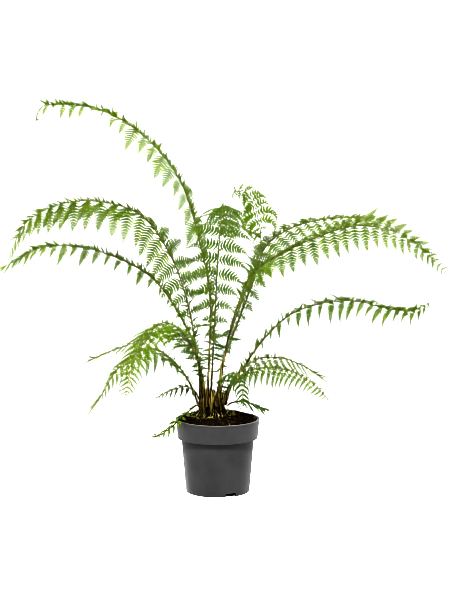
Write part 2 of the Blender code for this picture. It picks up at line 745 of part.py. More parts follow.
def rib_section(rib, distance):
    # Left, right and lower corner of the rib
    middle, along, left, up = rib.at(distance)
    half = rib.half_width(distance)
    return [middle + left * half, middle - left * half, middle - up * half * RIB_DEPTH]


def frond_mesh(name, rib, frond, leaves):
    bm = bmesh.new()
    marks = rib_stations(rib, frond, leaves)
    rows = [[bm.verts.new(spot) for spot in rib_section(rib, mark)] for mark in marks]
    by_root = {}
    for leaf in leaves:
        middle = 0.5 * (leaf.start + leaf.end)
        index = max(i for i, mark in enumerate(marks) if mark < middle)
        by_root[(index, leaf.side)] = leaf
    bm.faces.new((rows[0][0], rows[0][1], rows[0][2]))
    for index, (row, after) in enumerate(zip(rows, rows[1:])):
        left, right, low = row
        next_left, next_right, next_low = after
        for start, end in ((left, next_left), (right, next_right)):
            bm.faces.new((start, end, next_low))
            bm.faces.new((start, next_low, low))
        ridges = []
        for side, start, end in ((1, left, next_left), (-1, right, next_right)):
            leaf = by_root.get((index, side))
            ridges.append(add_leaf(bm, leaf, start, end) if leaf else None)
        add_rib_top(bm, row, after, ridges)
    tip = bm.verts.new(rib.at(rib.length)[0])
    left, right, low = rows[-1]
    bm.faces.new((left, right, tip))
    bm.faces.new((left, tip, low))
    bm.faces.new((right, low, tip))
    bmesh.ops.recalc_face_normals(bm, faces=bm.faces)
    return mesh_from(bm, name)


def add_leaf(bm, leaf, root_back, root_front):
    spots = leaf.points()
    corners = [root_back, root_front] + [bm.verts.new(spot) for spot in spots[2:]]
    top, bottom = leaf_faces(leaf.teeth)
    for face in top + bottom:
        bm.faces.new([corners[index] for index in face])
    return corners[2]


def add_rib_top(bm, row, after, ridges):
    # The rib's upper side, running up to the ridge of each leaflet that it carries
    left, right = row[0], row[1]
    next_left, next_right = after[0], after[1]
    left_ridge, right_ridge = ridges
    if left_ridge and right_ridge:
        faces = [(left, left_ridge, right_ridge), (left, right_ridge, right),
                 (left_ridge, next_left, next_right), (left_ridge, next_right, right_ridge)]
    elif left_ridge:
        faces = [(left, left_ridge, right), (left_ridge, next_right, right),
                 (left_ridge, next_left, next_right)]
    elif right_ridge:
        faces = [(right, right_ridge, left), (right_ridge, next_left, left),
                 (right_ridge, next_right, next_left)]
    else:
        faces = [(left, next_left, right), (right, next_left, next_right)]
    for face in faces:
        bm.faces.new(face)


def tree_of(thing):
    return BVHTree.FromObject(thing, bpy.context.evaluated_depsgraph_get())


def main():
    clear_scene()
    parts = make_collection("potted_soft_tree_fern")
    cutters = make_collection("cutters")
    holes = make_collection("stipe_holes")
    skins = {name: make_skin(name) for name in SKINS}
    pot = add_pot(parts, cutters, skins["pot"])
    soil = add_soil(parts, cutters, skins["soil"])
    ribs = {name: Rib(frond) for name, frond in FRONDS.items()}
    for name, rib in ribs.items():
        add_stipe_hole(name, rib, holes)
    crown = add_crown(parts, holes, skins["crown"])
    bpy.context.view_layer.update()
    fixed = [tree_of(pot), tree_of(soil), tree_of(crown)]
    rib_trees = {name: rib_tree(rib, 0.0, rib.length) for name, rib in ribs.items()}
    grown = []
    for seed, (name, frond) in enumerate(FRONDS.items()):
        others = [tree for other, tree in rib_trees.items() if other != name]
        leaves = grow_leaves(ribs[name], frond, seed, fixed + others + grown)
        mesh = frond_mesh(name, ribs[name], frond, leaves)
        skin = skins["frond_lime" if name in LIME_FRONDS else "frond"]
        thing = add_object(name, mesh, parts, skin)
        bpy.context.view_layer.update()
        grown.append(tree_of(thing))
        print(name, "leaflets", len(leaves), "of", 2 * frond["pairs"], "triangles", len(mesh.polygons))


main()
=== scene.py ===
import json
import math
import random

import bmesh
import bpy
from mathutils import Matrix, Vector, noise
from mathutils.kdtree import KDTree

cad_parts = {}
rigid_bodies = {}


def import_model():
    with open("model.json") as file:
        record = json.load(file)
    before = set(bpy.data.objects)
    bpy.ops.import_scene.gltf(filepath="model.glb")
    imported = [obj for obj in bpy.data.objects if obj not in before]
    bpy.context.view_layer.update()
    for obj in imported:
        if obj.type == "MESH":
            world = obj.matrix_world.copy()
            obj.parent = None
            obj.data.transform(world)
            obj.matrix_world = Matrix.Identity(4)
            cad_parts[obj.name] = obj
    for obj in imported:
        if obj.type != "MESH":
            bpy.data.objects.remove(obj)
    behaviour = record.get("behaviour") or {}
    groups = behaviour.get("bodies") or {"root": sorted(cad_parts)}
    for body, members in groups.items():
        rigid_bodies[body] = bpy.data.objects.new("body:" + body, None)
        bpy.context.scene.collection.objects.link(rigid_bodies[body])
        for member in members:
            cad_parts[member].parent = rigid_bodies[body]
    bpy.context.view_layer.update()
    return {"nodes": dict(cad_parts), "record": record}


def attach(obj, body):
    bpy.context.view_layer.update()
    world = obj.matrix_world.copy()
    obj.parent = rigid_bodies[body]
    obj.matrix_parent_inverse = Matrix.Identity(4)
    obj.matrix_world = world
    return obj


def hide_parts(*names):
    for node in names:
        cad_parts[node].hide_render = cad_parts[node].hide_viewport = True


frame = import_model()
slots = {part["node"]: part["material_slot"] for part in frame["record"]["subparts"]}


# Nodes. What goes into a node is a number, a colour, another node or one of its outputs

def out(node, name=None):
    # a node's first output, or the one with a name
    return next(socket for socket in node.outputs if socket.enabled and name in (None, socket.name))


def feed(node, *values, **named):
    # fills inputs in their order, or by name with _ for a space
    sockets = {socket.name: socket for socket in node.inputs if socket.enabled}
    pairs = list(zip(node.inputs, values))
    pairs += [(sockets[label.replace("_", " ")], value) for label, value in named.items()]
    for socket, value in pairs:
        if isinstance(value, bpy.types.Node):
            value = out(value)
        if isinstance(value, bpy.types.NodeSocket):
            socket.id_data.links.new(value, socket)
        else:
            socket.default_value = value


def place(tree, kind, *values, **named):
    # adds a node; keywords with a capital are inputs, the others are settings
    families = ("ShaderNode", "GeometryNode", "FunctionNode")
    kinds = [family + kind for family in families if hasattr(bpy.types, family + kind)]
    node = tree.nodes.new(kinds[0])
    for label, value in named.items():
        if label[0].islower():
            setattr(node, label, value)
    feed(node, *values, **{label: value for label, value in named.items() if label[0].isupper()})
    return node


def calc(operation, *values, kind="Math", **named):
    # sums on outputs, in the tree that the first of them is in
    tree = next(value.id_data for value in values if hasattr(value, "id_data"))
    return out(place(tree, kind, *values, operation=operation, **named))


def times(first, second):
    return calc("MULTIPLY", first, second)


def timesPlus(first, second, more):
    return calc("MULTIPLY_ADD", first, second, more)


def vectorSum(*values):
    return calc("ADD", *values, kind="VectorMath")


def stretch(vector, length):
    return calc("SCALE", vector, kind="VectorMath", Scale=length)


def remap(value, fromLow, fromHigh, toLow=0.0, toHigh=1.0):
    return out(place(value.id_data, "MapRange", value, fromLow, fromHigh, toLow, toHigh))


def axes(vector):
    return place(vector.id_data, "SeparateXYZ", vector).outputs


def newTree(name, kind, inputs, outputs):
    # inputs give each socket's first value, or its type where it has none
    tree = bpy.data.node_groups.new(name, kind)
    for label, value in inputs.items():
        sort = value if isinstance(value, str) else "Int" if isinstance(value, int) else "Float"
        socket = tree.interface.new_socket(label, in_out="INPUT", socket_type="NodeSocket" + sort)
        if sort != value:
            socket.default_value = value
    for label, sort in outputs.items():
        tree.interface.new_socket(label, in_out="OUTPUT", socket_type="NodeSocket" + sort)
    given = {socket.name: socket for socket in tree.nodes.new("NodeGroupInput").outputs}
    return tree, given, tree.nodes.new("NodeGroupOutput")


# Meshes and finished pieces

def newObject(name, mesh):
    thing = bpy.data.objects.new(name, mesh)
    bpy.context.scene.collection.objects.link(thing)
    return thing


def plainMesh(thing):
    # the mesh that an object's modifiers make; the object itself goes
    bpy.context.view_layer.update()
    made = bpy.data.meshes.new_from_object(thing.evaluated_get(bpy.context.evaluated_depsgraph_get()))
    bpy.data.objects.remove(thing)
    return made


def applyTree(name, mesh, tree, values):
    # runs a Geometry Nodes tree on a mesh
    holder = newObject(name, mesh)
    modifier = holder.modifiers.new(name, "NODES")
    modifier.node_group = tree
    for socket in tree.interface.items_tree:
        if socket.in_out == "INPUT" and socket.name in values:
            modifier[socket.identifier] = values[socket.name]
    return plainMesh(holder)


def toMesh(bm, name):
    mesh = bpy.data.meshes.new(name)
    bm.to_mesh(mesh)
    bm.free()
    return mesh


def closedMesh(bm, name):
    bmesh.ops.recalc_face_normals(bm, faces=bm.faces)
    return toMesh(bm, name)


def smooth(mesh, angle):
    mesh.shade_smooth()
    mesh.set_sharp_from_angle(angle=math.radians(angle))
    return mesh


def sized(vector, sizes):
    return Vector(part * size for part, size in zip(vector, sizes))


def bridge(bm, rows):
    # faces between rings of corners, the last of which may be a single tip
    for row, after in zip(rows, rows[1:]):
        for index, corner in enumerate(row):
            other = (index + 1) % len(row)
            ends = after if len(after) == 1 else (after[other], after[index])
            bm.faces.new((corner, row[other], *ends))


def shapeCollection(name, meshes):
    # shapes for a tree to scatter; it takes them in the order of their names
    collection = bpy.data.collections.new(name)
    for index, mesh in enumerate(meshes):
        collection.objects.link(bpy.data.objects.new(f"{name}{index}", mesh))
    return collection


def dropCollection(collection):
    for thing in list(collection.objects):
        bpy.data.objects.remove(thing)
    bpy.data.collections.remove(collection)


def finishPiece(name, mesh, replaced=None, finish=None):
    # a finished piece rides on the plant's one body
    mesh.name = name
    if finish:
        mesh.materials.clear()
        mesh.materials.append(finishes[finish])
    piece = newObject(name, mesh)
    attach(piece, "root")
    if replaced:
        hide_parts(replaced)
    print(name, sum(len(face.vertices) - 2 for face in mesh.polygons), "triangles")


# Helpers for finishes

def mixColour(mask, first, second):
    pair = [(*colour, 1.0) if isinstance(colour, tuple) else colour for colour in (first, second)]
    return out(place(mask.id_data, "Mix", data_type="RGBA", Factor=mask, A=pair[0], B=pair[1]))


def paintOver(base, layers):
    # lays one colour after another over a base, each through its mask
    for mask, colour in layers:
        base = mixColour(mask, base, colour)
    return base


def attribute(tree, name, output="Fac"):
    return out(place(tree, "Attribute", attribute_name=name), output)


def objectSpot(tree):
    return out(place(tree, "TexCoord"), "Object")


def newFinish(name, **plain):
    # a material with its plain values set on the shader's own sockets
    finish = bpy.data.materials.new(name)
    finish.use_nodes = True
    shader = finish.node_tree.nodes["Principled BSDF"]
    feed(shader, **plain)
    return finish, finish.node_tree, shader


def bump(height, distance, strength):
    return place(height.id_data, "Bump", Height=height, Distance=distance, Strength=strength)


# Camera, light and floor

view = {
    "place": (0.0166, -4.2, 0.969),
    "pitch": -7.19,
    "halfHeight": 300 / 1875,
    "farthest": 100,
    "floorSize": 60.0,
    "keyAim": (36, -4, 0),
    "keyStrength": 3.4,
    "keySize": 16,
    "sky": 0.05,
    "sideSky": 1.7,
    "paper": 0.36,
    "paperGlow": 0.66,
    "crispness": 0.65,
    "contrast": "Very High Contrast",
}
white = (1.0, 1.0, 1.0, 1.0)


def makeCamera():
    lens = bpy.data.cameras.new("camera")
    lens.sensor_fit = "VERTICAL"
    lens.angle_y = 2 * math.atan(view["halfHeight"])
    lens.clip_end = view["farthest"]
    camera = newObject("camera", lens)
    camera.location = view["place"]
    camera.rotation_euler = (math.radians(90 + view["pitch"]), 0, 0)
    bpy.context.scene.camera = camera


def makeStudio():
    scene = bpy.context.scene
    scene.view_settings.view_transform = "Standard"
    scene.view_settings.look = view["contrast"]
    scene.cycles.filter_width = view["crispness"]
    scene.world = bpy.data.worlds.new("studio")
    scene.world.use_nodes = True
    tree = scene.world.node_tree
    # soft light from both sides, and plain white where the camera looks
    sideways = axes(out(place(tree, "TexCoord"), "Generated"))["X"]
    sideways = calc("POWER", calc("ABSOLUTE", sideways), 2.0)
    strength = timesPlus(sideways, view["sideSky"], view["sky"])
    seen = out(place(tree, "LightPath"), "Is Camera Ray")
    feed(tree.nodes["Background"], Color=white, Strength=calc("MAXIMUM", strength, seen))
    key = bpy.data.lights.new("key", "SUN")
    key.energy = view["keyStrength"]
    key.angle = math.radians(view["keySize"])
    newObject("key", key).rotation_euler = [math.radians(turn) for turn in view["keyAim"]]
    # the paper glows a little, so that the floor stays pale in the plant's shadow
    paper, tree, shader = newFinish("paper", Base_Color=(*[view["paper"]] * 3, 1), Roughness=0.9,
                                    Specular_IOR_Level=0.1, Emission_Color=white)
    seen = out(place(tree, "LightPath"), "Is Camera Ray")
    feed(shader, Emission_Strength=times(seen, view["paperGlow"]))
    bm = bmesh.new()
    bmesh.ops.create_grid(bm, x_segments=1, y_segments=1, size=view["floorSize"] / 2)
    floor = newObject("floor", closedMesh(bm, "floor"))
    floor.data.materials.append(paper)
    print("camera, light and floor ready")


# Shader groups that several finishes share

def makeMottle():
    # uneven patches of a chosen size
    tree, given, outward = newTree("mottle", "ShaderNodeTree", {
        "Scale": 20.0, "Detail": 3.0, "Low": 0.35, "High": 0.65}, {"Mask": "Float"})
    cloud = place(tree, "TexNoise", Vector=objectSpot(tree), Scale=given["Scale"], Detail=given["Detail"])
    feed(outward, Mask=remap(cloud, given["Low"], given["High"]))
    return tree


def makeVeins():
    # midvein and slanting side veins of a pinnule, read from its own "blade" coordinates
    tree, given, outward = newTree("leafVeins", "ShaderNodeTree", {
        "Side Veins": 9.0, "Slant": 0.35}, {"Midvein": "Float", "Side Vein": "Float"})
    blade = axes(attribute(tree, "blade", "Vector"))
    away = calc("ABSOLUTE", blade["Y"])
    slanted = timesPlus(away, times(given["Slant"], -1.0), blade["X"])
    waves = calc("COSINE", times(slanted, times(given["Side Veins"], math.tau)))
    feed(outward, remap(away, 0.0, 0.16, 1.0, 0.0), remap(waves, 0.55, 1.0))
    return tree


def makeDust():
    # dust that settles on what faces up, in patches
    tree, given, outward = newTree("settledDust", "ShaderNodeTree", {
        "Scale": 60.0, "Amount": 0.5}, {"Mask": "Float"})
    upward = remap(axes(out(place(tree, "NewGeometry"), "Normal"))["Z"], 0.2, 0.9)
    cloud = place(tree, "TexNoise", Vector=objectSpot(tree), Scale=given["Scale"], Detail=4.0)
    feed(outward, Mask=times(times(remap(cloud, 0.35, 0.7), upward), given["Amount"]))
    return tree


def makeStreaks():
    # long upright streaks, drawn out by shrinking the pattern's height
    tree, given, outward = newTree("streaks", "ShaderNodeTree", {
        "Scale": 260.0, "Detail": 2.0, "Shrink": 0.05, "Low": 0.45, "High": 0.7}, {"Mask": "Float"})
    size = place(tree, "CombineXYZ", 1.0, 1.0, given["Shrink"])
    drawn = place(tree, "Mapping", Vector=objectSpot(tree), Scale=size)
    cloud = place(tree, "TexNoise", Vector=drawn, Scale=given["Scale"], Detail=given["Detail"])
    feed(outward, Mask=remap(cloud, given["Low"], given["High"]))
    return tree


sharedGroups = {
    "mottle": makeMottle(), "leafVeins": makeVeins(), "settledDust": makeDust(), "streaks": makeStreaks()}


def group(tree, name, **values):
    return place(tree, "Group", node_tree=sharedGroups[name], **values)


# Finishes

leafPaint = {
    "leafGreen": {
        "deep": (0.016, 0.033, 0.002), "full": (0.100, 0.176, 0.014), "pale": (0.278, 0.372, 0.038),
        "underside": (0.080, 0.150, 0.020), "vein": (0.150, 0.240, 0.020), "cool": (0.056, 0.102, 0.036),
    },
    "leafLime": {
        "deep": (0.026, 0.058, 0.001), "full": (0.155, 0.240, 0.012), "pale": (0.325, 0.445, 0.034),
        "underside": (0.100, 0.170, 0.020), "vein": (0.180, 0.260, 0.026), "cool": (0.098, 0.170, 0.036),
    },
}


def leafFinish(name):
    paint = leafPaint[name]
    finish, tree, shader = newFinish(name, Roughness=0.5, Specular_IOR_Level=0.08, Subsurface_Weight=0.6,
                                     Subsurface_Radius=(0.5, 1.0, 0.1), Subsurface_Scale=0.002)
    patches = group(tree, "mottle", Scale=38.0, Detail=4.0, Low=0.36, High=0.66)
    midvein, sideVein = group(tree, "leafVeins", Side_Veins=5.0, Slant=0.22).outputs
    tint = attribute(tree, "tint")
    under = attribute(tree, "under")
    blade = axes(attribute(tree, "blade", "Vector"))
    hem = calc("ABSOLUTE", blade["Y"])
    base = paintOver(paint["deep"], [
        (remap(tint, 0.0, 0.75), paint["full"]),
        (remap(tint, 0.62, 1.0, 0.0, 0.8), paint["pale"]),
        (remap(blade["X"], 0.40, 0.9, 0.0, 0.65), paint["pale"]),  # painted highlight: teeth paler toward their tips
        (remap(blade["X"], 0.0, 0.40, 0.85, 0.0), paint["deep"]),  # painted shade beside the midrib, where the pinnules crowd
        # painted shade along the pinnule edges, as in the creases between them
        (remap(hem, 0.5, 1.0, 0.0, 0.7), paint["deep"]),
        (times(patches, 0.45), paint["full"]),
        (remap(attribute(tree, "share"), 0.55, 1.0, 0.0, 0.45), paint["pale"]),  # younger by the tip
        (attribute(tree, "cool"), paint["cool"]),
        (times(under, 0.75), paint["underside"]),
        (times(midvein, 0.55), paint["vein"]),
        (times(sideVein, 0.18), paint["vein"]),
        (times(attribute(tree, "costa"), 0.7), paint["vein"]),
    ])
    rough = timesPlus(under, 0.14, timesPlus(patches, 0.16, 0.38))
    relief = timesPlus(sideVein, -0.5, times(patches, 0.4))
    feed(shader, Base_Color=base, Roughness=rough,
         Normal=bump(calc("SUBTRACT", relief, midvein), 0.00025, 0.8))
    return finish


stalkPaint = {
    "bark": (0.014, 0.005, 0.001), "brown": (0.040, 0.019, 0.004), "olive": (0.052, 0.066, 0.008),
    # the pale streak colour here and the gold below are painted highlight colours
    "green": (0.095, 0.165, 0.012), "streakHighlight": (0.230, 0.220, 0.045), "fleck": (0.014, 0.007, 0.003),
    "goldGlint": (0.500, 0.400, 0.110),
}


def stalkFinish():
    # dark and scaly at the foot, olive further up, green under the leaflets
    paint = stalkPaint
    finish, tree, shader = newFinish("stalk", Roughness=0.5, Specular_IOR_Level=0.2)
    height = axes(objectSpot(tree))["Z"]
    patches = group(tree, "mottle", Scale=26.0, Detail=3.0, Low=0.3, High=0.7)
    uneven = timesPlus(patches, 0.07, height)
    streaks = group(tree, "streaks", Scale=900.0, Detail=2.0, Shrink=0.07, Low=0.4, High=0.65)
    sides = group(tree, "streaks", Scale=260.0, Detail=1.0, Shrink=0.07, Low=0.50, High=0.56)
    specks = group(tree, "mottle", Scale=420.0, Detail=1.0, Low=0.60, High=0.68)
    green = attribute(tree, "cool")
    greening = timesPlus(green, 0.5, attribute(tree, "share"))
    glintBand = times(remap(height, 0.185, 0.22), remap(height, 0.28, 0.40, 0.85, 0.15))
    base = paintOver(paint["bark"], [
        (remap(uneven, 0.19, 0.27), paint["brown"]),
        (remap(uneven, 0.24, 0.36), mixColour(green, paint["brown"], paint["olive"])),
        (remap(greening, 0.70, 1.20), paint["green"]),
        # painted highlight: pale streaks along the stalks
        (times(streaks, 0.3), paint["streakHighlight"]),
        (times(sides, glintBand), paint["goldGlint"]),  # painted highlight: thin golden lines on the stalks just above the soil
        (times(specks, remap(height, 0.30, 0.46, 0.8, 0.12)), paint["fleck"]),
    ])
    feed(shader, Base_Color=base, Roughness=timesPlus(streaks, -0.15, 0.55),
         Normal=bump(calc("ADD", streaks, specks), 0.0002, 0.7))
    return finish


fibrePaint = {
    "dark": (0.006, 0.003, 0.0012), "brown": (0.050, 0.026, 0.008), "straw": (0.400, 0.290, 0.100),
    "damp": (0.012, 0.006, 0.002),
}


def fibreFinish():
    paint = fibrePaint
    finish, tree, shader = newFinish("crownFibre", Roughness=0.72, Specular_IOR_Level=0.12)
    patches = group(tree, "mottle", Scale=140.0, Detail=3.0, Low=0.35, High=0.65)
    tint = attribute(tree, "tint")
    base = paintOver(paint["dark"], [
        (remap(tint, 0.0, 0.8), paint["brown"]),
        (remap(tint, 0.84, 0.96), paint["straw"]),
        (times(patches, 0.4), paint["damp"]),
    ])
    feed(shader, Base_Color=base, Roughness=timesPlus(patches, 0.2, 0.6),
         Normal=bump(patches, 0.0004, 0.8))
    return finish


# what a crumb is, as its "kind" attribute says
soilKinds = {"peat": 0, "bark": 1, "straw": 2, "moss": 3}

# bark, straw and moss: the darkest and the lightest crumb
soilPaint = {
    "peat": (0.004, 0.002, 0.001), "dry": (0.018, 0.010, 0.004), "crumb": (0.045, 0.026, 0.009),
    "damp": (0.003, 0.002, 0.001),
    "bark": ((0.020, 0.010, 0.004), (0.130, 0.080, 0.026)),
    "straw": ((0.200, 0.160, 0.040), (0.560, 0.500, 0.190)),
    "moss": ((0.060, 0.100, 0.010), (0.200, 0.300, 0.040)),
}


def soilFinish():
    paint = soilPaint
    finish, tree, shader = newFinish("pottingSoil", Roughness=0.9, Specular_IOR_Level=0.1)
    lumps = group(tree, "mottle", Scale=300.0, Detail=4.0, Low=0.3, High=0.7)
    damp = group(tree, "mottle", Scale=24.0, Detail=2.0, Low=0.35, High=0.65)
    tint = attribute(tree, "tint")
    kind = attribute(tree, "kind")
    base = paintOver(paint["peat"], [
        (lumps, paint["dry"]), (times(tint, 0.5), paint["crumb"]), (times(damp, 0.4), paint["damp"])])
    for name in ("bark", "straw", "moss"):
        number = soilKinds[name]
        base = mixColour(remap(kind, number - 0.6, number - 0.4), base, mixColour(tint, *paint[name]))
    feed(shader, Base_Color=base, Roughness=remap(damp, 0.0, 1.0, 0.95, 0.7),
         Normal=bump(lumps, 0.0006, 0.9))
    return finish


potPaint = {
    "dark": (0.054, 0.054, 0.055), "light": (0.073, 0.073, 0.073), "mark": (0.065, 0.064, 0.061),
    # below: the light grey, and the heights, of the painted highlight on the lip and the painted light on
    # the rim band
    "highlightGrey": (0.210, 0.210, 0.205), "dust": (0.110, 0.098, 0.080), "lipHighlightHeights": (0.1662, 0.1676),
    "bandLightHeights": (0.1234, 0.1244),
}


def potFinish():
    # dull moulded plastic, with a painted highlight on the lip and painted light that makes the rim band a
    # little lighter
    paint = potPaint
    finish, tree, shader = newFinish("potPlastic", Roughness=0.5, Specular_IOR_Level=0.5, Sheen_Weight=0.6,
                                     Sheen_Roughness=0.35)
    grain = group(tree, "mottle", Scale=2600.0, Detail=2.0, Low=0.3, High=0.7)
    clouds = group(tree, "mottle", Scale=18.0, Detail=4.0, Low=0.35, High=0.65)
    dust = group(tree, "settledDust", Scale=90.0, Amount=0.5)
    marks = group(tree, "streaks", Scale=260.0, Detail=2.0, Shrink=0.05, Low=0.45, High=0.7)
    height = axes(objectSpot(tree))["Z"]
    # painted highlight: a light grey line along the lip, uneven with the clouds
    lipGlint = times(remap(height, *paint["lipHighlightHeights"]), remap(clouds, 0.0, 1.0, 0.45, 0.9))
    base = paintOver(paint["dark"], [
        (clouds, paint["light"]),
        (times(marks, 0.2), paint["mark"]),
        # painted highlight on the lip, and painted light over the whole rim band
        (calc("ADD", lipGlint, remap(height, *paint["bandLightHeights"], 0.0, 0.13)), paint["highlightGrey"]),
        (dust, paint["dust"]),
    ])
    rough = timesPlus(marks, 0.08, timesPlus(clouds, 0.1, 0.42))
    feed(shader, Base_Color=base, Roughness=timesPlus(dust, 0.5, rough),
         Normal=bump(timesPlus(marks, 0.3, grain), 0.00006, 0.6))
    return finish


finishes = {
    "leafGreen": leafFinish("leafGreen"),
    "leafLime": leafFinish("leafLime"),
    "stalk": stalkFinish(),
    "fibre": fibreFinish(),
    "soil": soilFinish(),
    "pot": potFinish(),
}
print("finishes ready")


# Pot

potLook = {
    "height": 0.168, "wall": 0.002, "turns": 144,
    "rim": 0.095, "underLip": 0.0941, "lipDepth": 0.0042,
    "band": 0.0905, "bandHeight": 0.044,
    "body": 0.082, "base": 0.0716, "footRing": (0.056, 0.054), "hollow": 0.0008,
    "notches": 3, "firstNotch": -65, "notchSize": (0.018, 0.027, 0.016), "notchRounding": 0.004,
}


def fillet(corners, steps=5):
    # rounds the corners (radius, height, rounding) of a profile
    line = []
    for index, (radius, height, rounding) in enumerate(corners):
        spot = Vector((radius, height))
        if not rounding:
            line.append(spot)
            continue
        before = Vector(corners[index - 1][:2]) - spot
        after = Vector(corners[index + 1][:2]) - spot
        start = spot + before.normalized() * rounding
        end = spot + after.normalized() * rounding
        for step in range(steps + 1):
            share = step / steps
            line.append(start.lerp(spot, share).lerp(spot.lerp(end, share), share))
    return line


def lathe(name, line, turns):
    bm = bmesh.new()
    corners = [bm.verts.new((spot.x, 0.0, spot.y)) for spot in line]
    for start, end in zip(corners, corners[1:]):
        bm.edges.new((start, end))
    thing = newObject(name, toMesh(bm, name))
    screw = thing.modifiers.new("turn", "SCREW")
    screw.steps = screw.render_steps = turns
    screw.use_merge_vertices = True
    screw.merge_threshold = 0.00001
    bm = bmesh.new()
    bm.from_mesh(plainMesh(thing))
    return closedMesh(bm, name)


def makePot():
    look = potLook
    top, wall, lip = look["height"], look["wall"], look["height"] - look["lipDepth"]
    foot = top - look["bandHeight"]
    outer, inner = look["footRing"]
    profile = fillet([
        (0.0, wall, 0), (look["base"] - 2.2 * wall, wall, 0.0015),
        (look["body"] - wall, foot + wall, 0.0015), (look["band"] - 1.6 * wall, foot + wall, 0.001),
        (look["rim"] - 2.2 * wall, top, 0.0008),
        (look["rim"], top, 0.0011), (look["rim"] - 0.0002, lip, 0.0007),
        (look["underLip"], lip - 0.0004, 0.0003), (look["band"], foot, 0.0012),
        (look["body"], foot, 0.0006), (look["base"], 0.0, 0.003), (outer, 0.0, 0.0006),
        (inner, look["hollow"], 0.0006), (0.0, look["hollow"], 0),
    ])
    pot = newObject("potBlank", lathe("potBlank", profile, look["turns"]))
    cutters = []
    for index in range(look["notches"]):
        bm = bmesh.new()
        bmesh.ops.create_cube(bm, size=1.0)
        bmesh.ops.scale(bm, vec=look["notchSize"], verts=bm.verts)
        # the four edges that run into the pot's wall
        ridges = [edge for edge in bm.edges if (edge.verts[1].co - edge.verts[0].co).yz.length < 1e-6]
        bmesh.ops.bevel(bm, geom=ridges, offset=look["notchRounding"], segments=4, affect="EDGES",
                        profile=0.5)
        turn = Matrix.Rotation(math.radians(look["firstNotch"] + 360 * index / look["notches"]), 4, "Z")
        atWall = Matrix.Translation((look["base"] - 0.0006, 0, 0))
        bmesh.ops.transform(bm, matrix=turn @ atWall, verts=bm.verts)
        cutters.append(newObject(f"notch{index}", closedMesh(bm, "notch")))
        cut = pot.modifiers.new("notch", "BOOLEAN")
        cut.operation = "DIFFERENCE"
        cut.object = cutters[-1]
    mesh = smooth(plainMesh(pot), 32)
    for cutter in cutters:
        bpy.data.objects.remove(cutter)
    finishPiece("potShell", mesh, "pot", "pot")


# Scattering tree: crumbs on the soil, fibres on the crown

def chanceValue(seed, offset, kind="FLOAT", **limits):
    # a random value for each point or copy
    return place(seed.id_data, "RandomValue", Seed=calc("ADD", seed, offset), data_type=kind, **limits)


def pickShapes(collection):
    return place(collection.id_data, "CollectionInfo", Collection=collection, Separate_Children=True,
                 Reset_Children=True)


def aimRotation(aim, up):
    return place(aim.id_data, "AxesToRotation", aim, up, primary_axis="X", secondary_axis="Z")


def makeScatter():
    tree, given, outward = newTree("scatter", "GeometryNodeTree", {
        "Geometry": "Geometry", "Shapes": "Collection", "Shape Count": 1, "Density": 1000.0, "Seed": 0,
        "Least Size": 0.001, "Largest Size": 0.002, "Upright": 0.0, "Outward": 0.0, "Jumble": 1.0,
        "Finish": "Material"}, {"Geometry": "Geometry"})
    seed = given["Seed"]
    spots = place(tree, "DistributePointsOnFaces", Mesh=given["Geometry"], Density=given["Density"],
                  Seed=seed)
    everyWay = {"Min": (-1, -1, -1), "Max": (1, 1, 1)}
    jumbled, rolled = [out(chanceValue(seed, offset, "FLOAT_VECTOR", **everyWay)) for offset in (1.0, 2.0)]
    aim = vectorSum(stretch(out(spots, "Normal"), given["Outward"]), stretch(jumbled, given["Jumble"]))
    aim = vectorSum(aim, place(tree, "CombineXYZ", Z=given["Upright"]))
    last = calc("SUBTRACT", given["Shape Count"], 1.0)
    size = chanceValue(seed, 4.0, Min=given["Least Size"], Max=given["Largest Size"])
    placed = place(tree, "InstanceOnPoints", Points=out(spots, "Points"), Pick_Instance=True,
                   Instance=pickShapes(given["Shapes"]), Rotation=aimRotation(aim, rolled), Scale=size,
                   Instance_Index=chanceValue(seed, 3.0, "INT", Max=last))
    tinted = place(tree, "StoreNamedAttribute", Geometry=placed, Name="tint", Value=chanceValue(seed, 5.0),
                   domain="INSTANCE")
    real = place(tree, "RealizeInstances", Geometry=tinted)
    feed(outward, Geometry=place(tree, "SetMaterial", Geometry=real, Material=given["Finish"]))
    return tree


scatter = makeScatter()


def strew(name, ground, shapes, values, finish):
    # strews copies of some small shapes over a surface
    collection = shapeCollection(name, shapes)
    finishPiece(name, applyTree(name, ground, scatter, {
        **values, "Shapes": collection, "Shape Count": len(shapes), "Finish": finishes[finish]}))
    dropCollection(collection)


def addKind(mesh, kind):
    data = mesh.attributes.new("kind", "FLOAT", "POINT").data
    data.foreach_set("value", [soilKinds[kind]] * len(data))
    return mesh


def crumbMesh(seed, stretched, kind):
    # a rough lump about 1 across
    chance = random.Random(seed)
    bm = bmesh.new()
    bmesh.ops.create_icosphere(bm, subdivisions=1, radius=0.5)
    for corner in bm.verts:
        corner.co *= chance.uniform(*soilLook["crumbUneven"])
        corner.co = sized(corner.co, stretched)
    return addKind(smooth(closedMesh(bm, "crumb"), 40), kind)


def stripMesh(width, thickness, bend, twist=0.0, kind="peat", segments=4):
    # a thin pointed strip of length 1 along X, curving in Z
    bm = bmesh.new()
    rows = []
    for step in range(segments):
        share = step / segments
        half = width * (1 - share) ** 0.7 * (0.6 + 0.4 * math.sin(math.pi * min(1, share * 2)))
        middle = Vector((share, twist * share * share, bend * share * share))
        rows.append([bm.verts.new(middle + Vector(spot)) for spot in (
            (0, half, 0), (0, -half, 0), (0, 0, thickness))])
    rows.append([bm.verts.new((1, twist, bend))])
    bm.faces.new(rows[0])
    bridge(bm, rows)
    bmesh.ops.triangulate(bm, faces=bm.faces)
    return addKind(smooth(closedMesh(bm, "strip"), 60), kind)


# Soil

crownCentre = Vector((-0.013, 0.0, 0.172))

